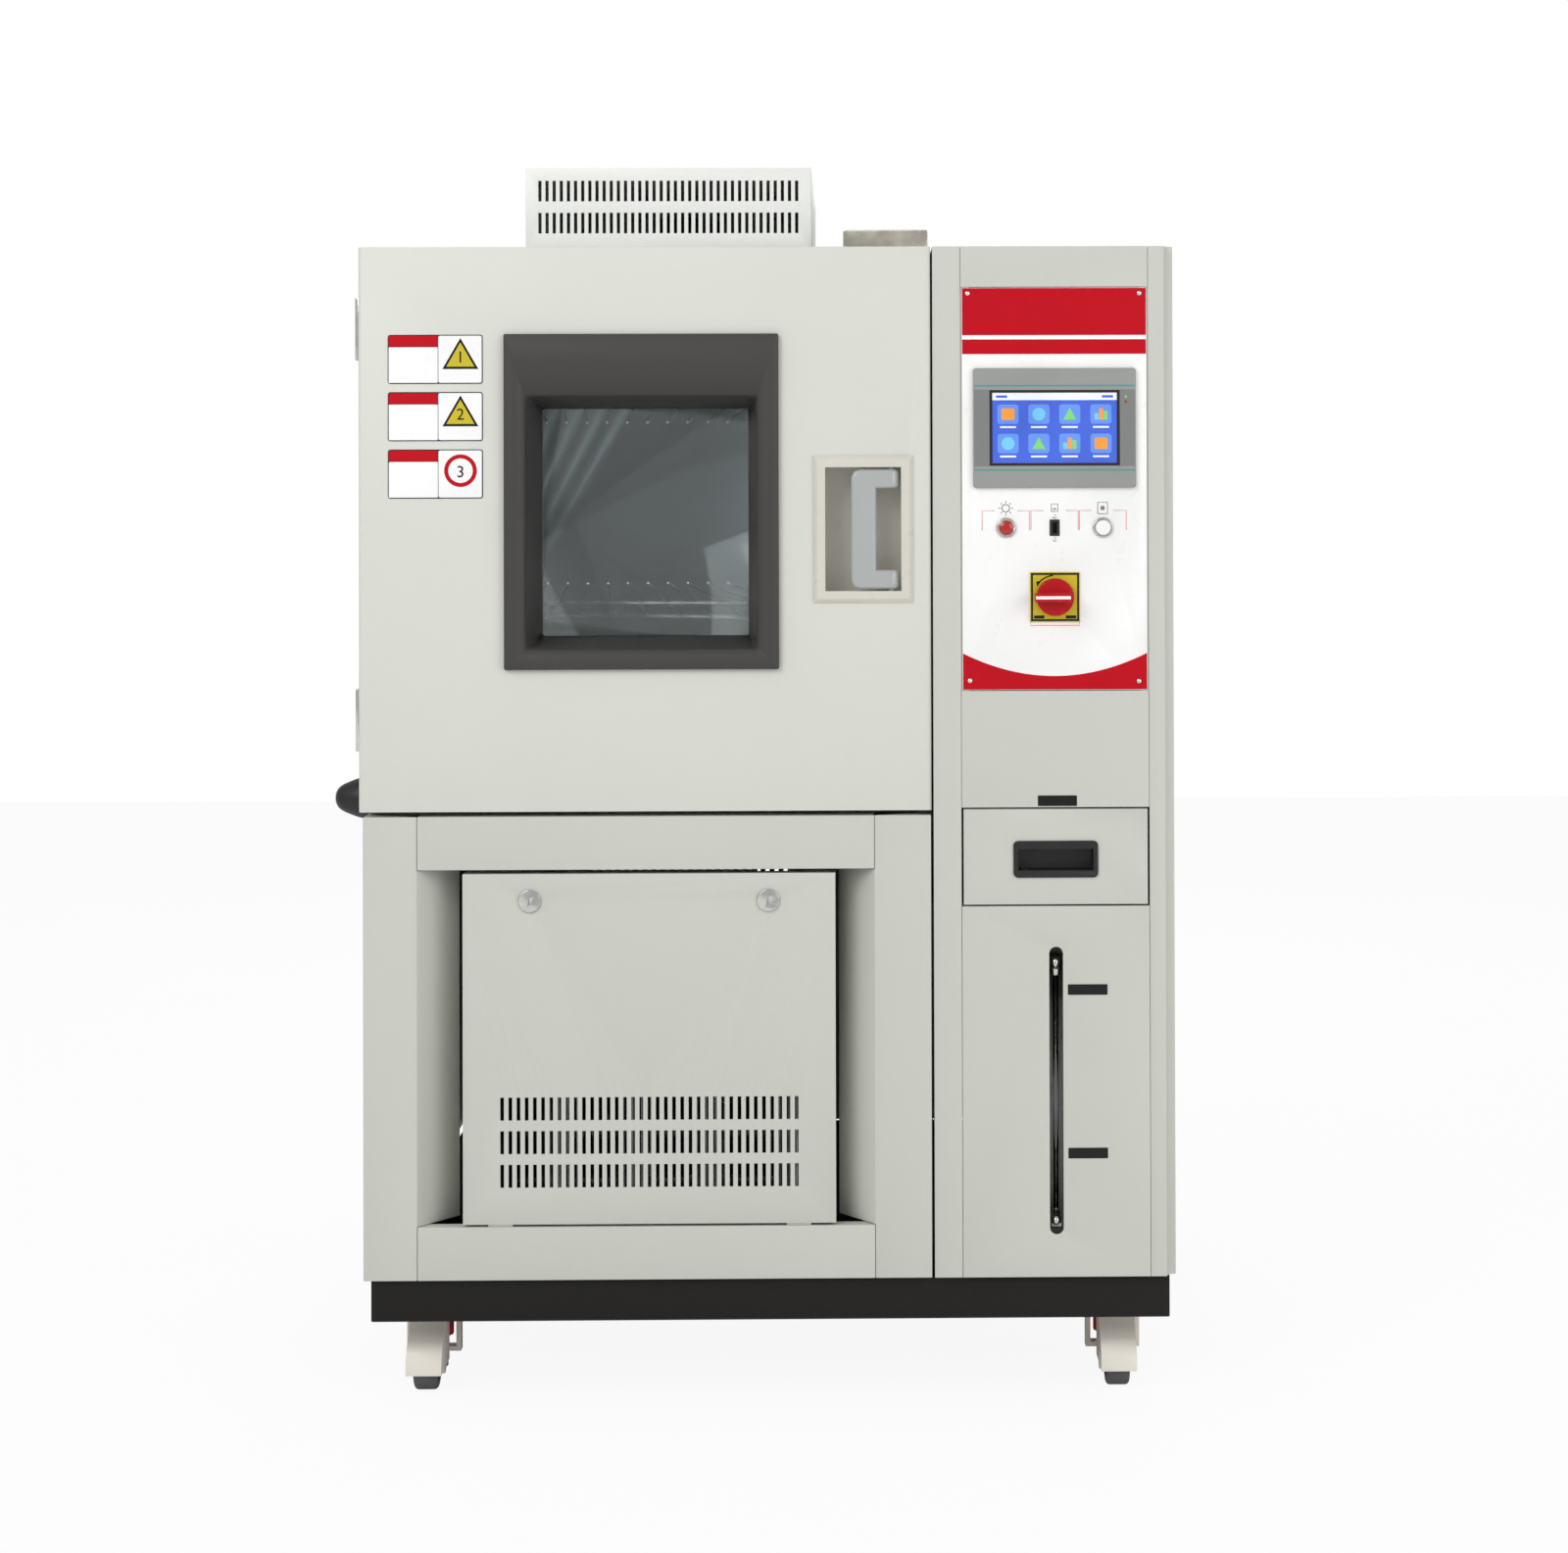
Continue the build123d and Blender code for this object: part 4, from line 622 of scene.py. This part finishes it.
column_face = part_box("column_frame")[0].y
label_height = 13.0
printed("drawer_label", [rectangle(826.3, 874.3, 728.5, 728.5 + label_height, 1.0)], "cabinet", black_ink,
        column_face, 0.3)
for count, z in enumerate((497.0, 296.8), 1):
    printed(f"gauge_label_{count}", [rectangle(862.3, 911.0, z, z + label_height, 1.0)], "cabinet", black_ink,
            column_face, 0.3)


# Screws of the control plate and the data socket, and the red lens of the lamp over its bezel

for count, (x, z) in enumerate(((741.7, 1358.0), (952.9, 1358.0), (743.5, 882.6), (951.1, 881.4)), 1):
    screw(f"plate_screw_{count}", x, z, 3.2, 1.6)
for count, z in enumerate((1083.6, 1055.4), 1):
    screw(f"usb_screw_{count}", middle, z, 2.6, 1.3)
lens_paint = ("red_plastic", plastic("lens_red", srgb(176, 24, 30), 0.12, 0.3, 300, 0.6))
lens_profile = ((9.2, 0.0), (8.8, 0.9), (7.4, 1.9), (5.0, 2.6), (2.4, 2.95))
lens_x, lens_z = middle - 59.5, 1070.0
domed("lamp_lens", lens_x, lens_z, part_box("lamp_bezels")[0].y, lens_profile, 32, lens_paint)


# Floor, background, lights and camera

def mixed_into(target, tree, share, first, second):
    """Link a mix of two shaders to the target socket; the share is how much of the second shows."""
    mixer = tree.nodes.new("ShaderNodeMixShader")
    for source, socket in zip((share, first, second), mixer.inputs):
        tree.links.new(source, socket)
    tree.links.new(mixer.outputs[0], target)


ground, ground_tree, ground_shader = new_material("ground")
ground_tint = ramp(ground_tree, noise(ground_tree, 3, 3), grey(0.9), grey(0.94))
ground_tree.links.new(ground_tint, ground_shader.inputs["Base Color"])
ground_shader.inputs["Roughness"].default_value = 0.9
bright = ground_tree.nodes.new("ShaderNodeEmission")
ground_rays = ground_tree.nodes.new("ShaderNodeLightPath")
bright_share = maths(ground_tree, "MULTIPLY", ground_rays.outputs["Is Camera Ray"], 0.92)
mixed_into(ground_tree.nodes["Material Output"].inputs["Surface"], ground_tree, bright_share,
           ground_shader.outputs[0], bright.outputs[0])
half = 7.0
floor_mesh = bpy.data.meshes.new("floor")
floor_mesh.from_pydata([(-half, -half, 0), (half, -half, 0), (half, half, 0), (-half, half, 0)], [],
                       [(0, 1, 2, 3)])
floor_mesh.materials.append(ground)
floor = bpy.data.objects.new("floor", floor_mesh)
bpy.context.scene.collection.objects.link(floor)

world = bpy.data.worlds.new("studio")
bpy.context.scene.world = world
world.use_nodes = True
world_tree = world.node_tree
ambient = world_tree.nodes["Background"]
ambient.inputs["Color"].default_value = grey(1.0)
ambient.inputs["Strength"].default_value = 0.55
white = world_tree.nodes.new("ShaderNodeBackground")
white.inputs["Color"].default_value = grey(1.0)
world_rays = world_tree.nodes.new("ShaderNodeLightPath")
seen = maths(world_tree, "MAXIMUM", world_rays.outputs["Is Camera Ray"],
             world_rays.outputs["Is Transmission Ray"])
mixed_into(world_tree.nodes["World Output"].inputs["Surface"], world_tree, seen, ambient.outputs[0],
           white.outputs[0])


def soft_light(name, spot, aim_height, size, power):
    """A square light, aimed at the object's middle."""
    data = bpy.data.lights.new(name, "AREA")
    data.size = size
    data.energy = power
    light = bpy.data.objects.new(name, data)
    light.location = spot
    light.rotation_euler = (Vector((0, 0, aim_height)) - Vector(spot)).to_track_quat("-Z", "Y").to_euler()
    bpy.context.scene.collection.objects.link(light)


soft_light("key", (-2.2, -3.6, 3.2), 0.8, 2.4, 70)
soft_light("fill", (2.8, -3.2, 1.8), 0.8, 2.2, 34)
soft_light("rim", (0.4, 3.2, 3.0), 0.9, 2.4, 40)

# The camera that took the photo, as fitted to it
image_width, image_height, sensor_width = 1600, 1585, 36.0
focal_pixels, centre_x, centre_y = 3054.4, 910.66, 488.02
yaw, pitch, roll = 0.0146, 0.0083, -0.0029
camera_x, camera_y, camera_z = 0.1279, -4.1475, 1.1009
camera_data = bpy.data.cameras.new("camera")
camera_data.sensor_fit = "HORIZONTAL"
camera_data.sensor_width = sensor_width
camera_data.lens = focal_pixels / image_width * sensor_width
camera_data.shift_x = (image_width / 2 - centre_x) / image_width
camera_data.shift_y = (centre_y - image_height / 2) / image_width
camera = bpy.data.objects.new("camera", camera_data)
forward = Vector((sin(yaw) * cos(pitch), cos(yaw) * cos(pitch), sin(pitch)))
level = forward.cross(Vector((0, 0, 1))).normalized()
right = level * cos(roll) + level.cross(forward) * sin(roll)
upward = right.cross(forward)
camera.matrix_world = Matrix(((right.x, upward.x, -forward.x, camera_x),
                              (right.y, upward.y, -forward.y, camera_y),
                              (right.z, upward.z, -forward.z, camera_z),
                              (0, 0, 0, 1)))
bpy.context.scene.collection.objects.link(camera)
bpy.context.scene.camera = camera
bpy.context.scene.view_settings.view_transform = "Standard"
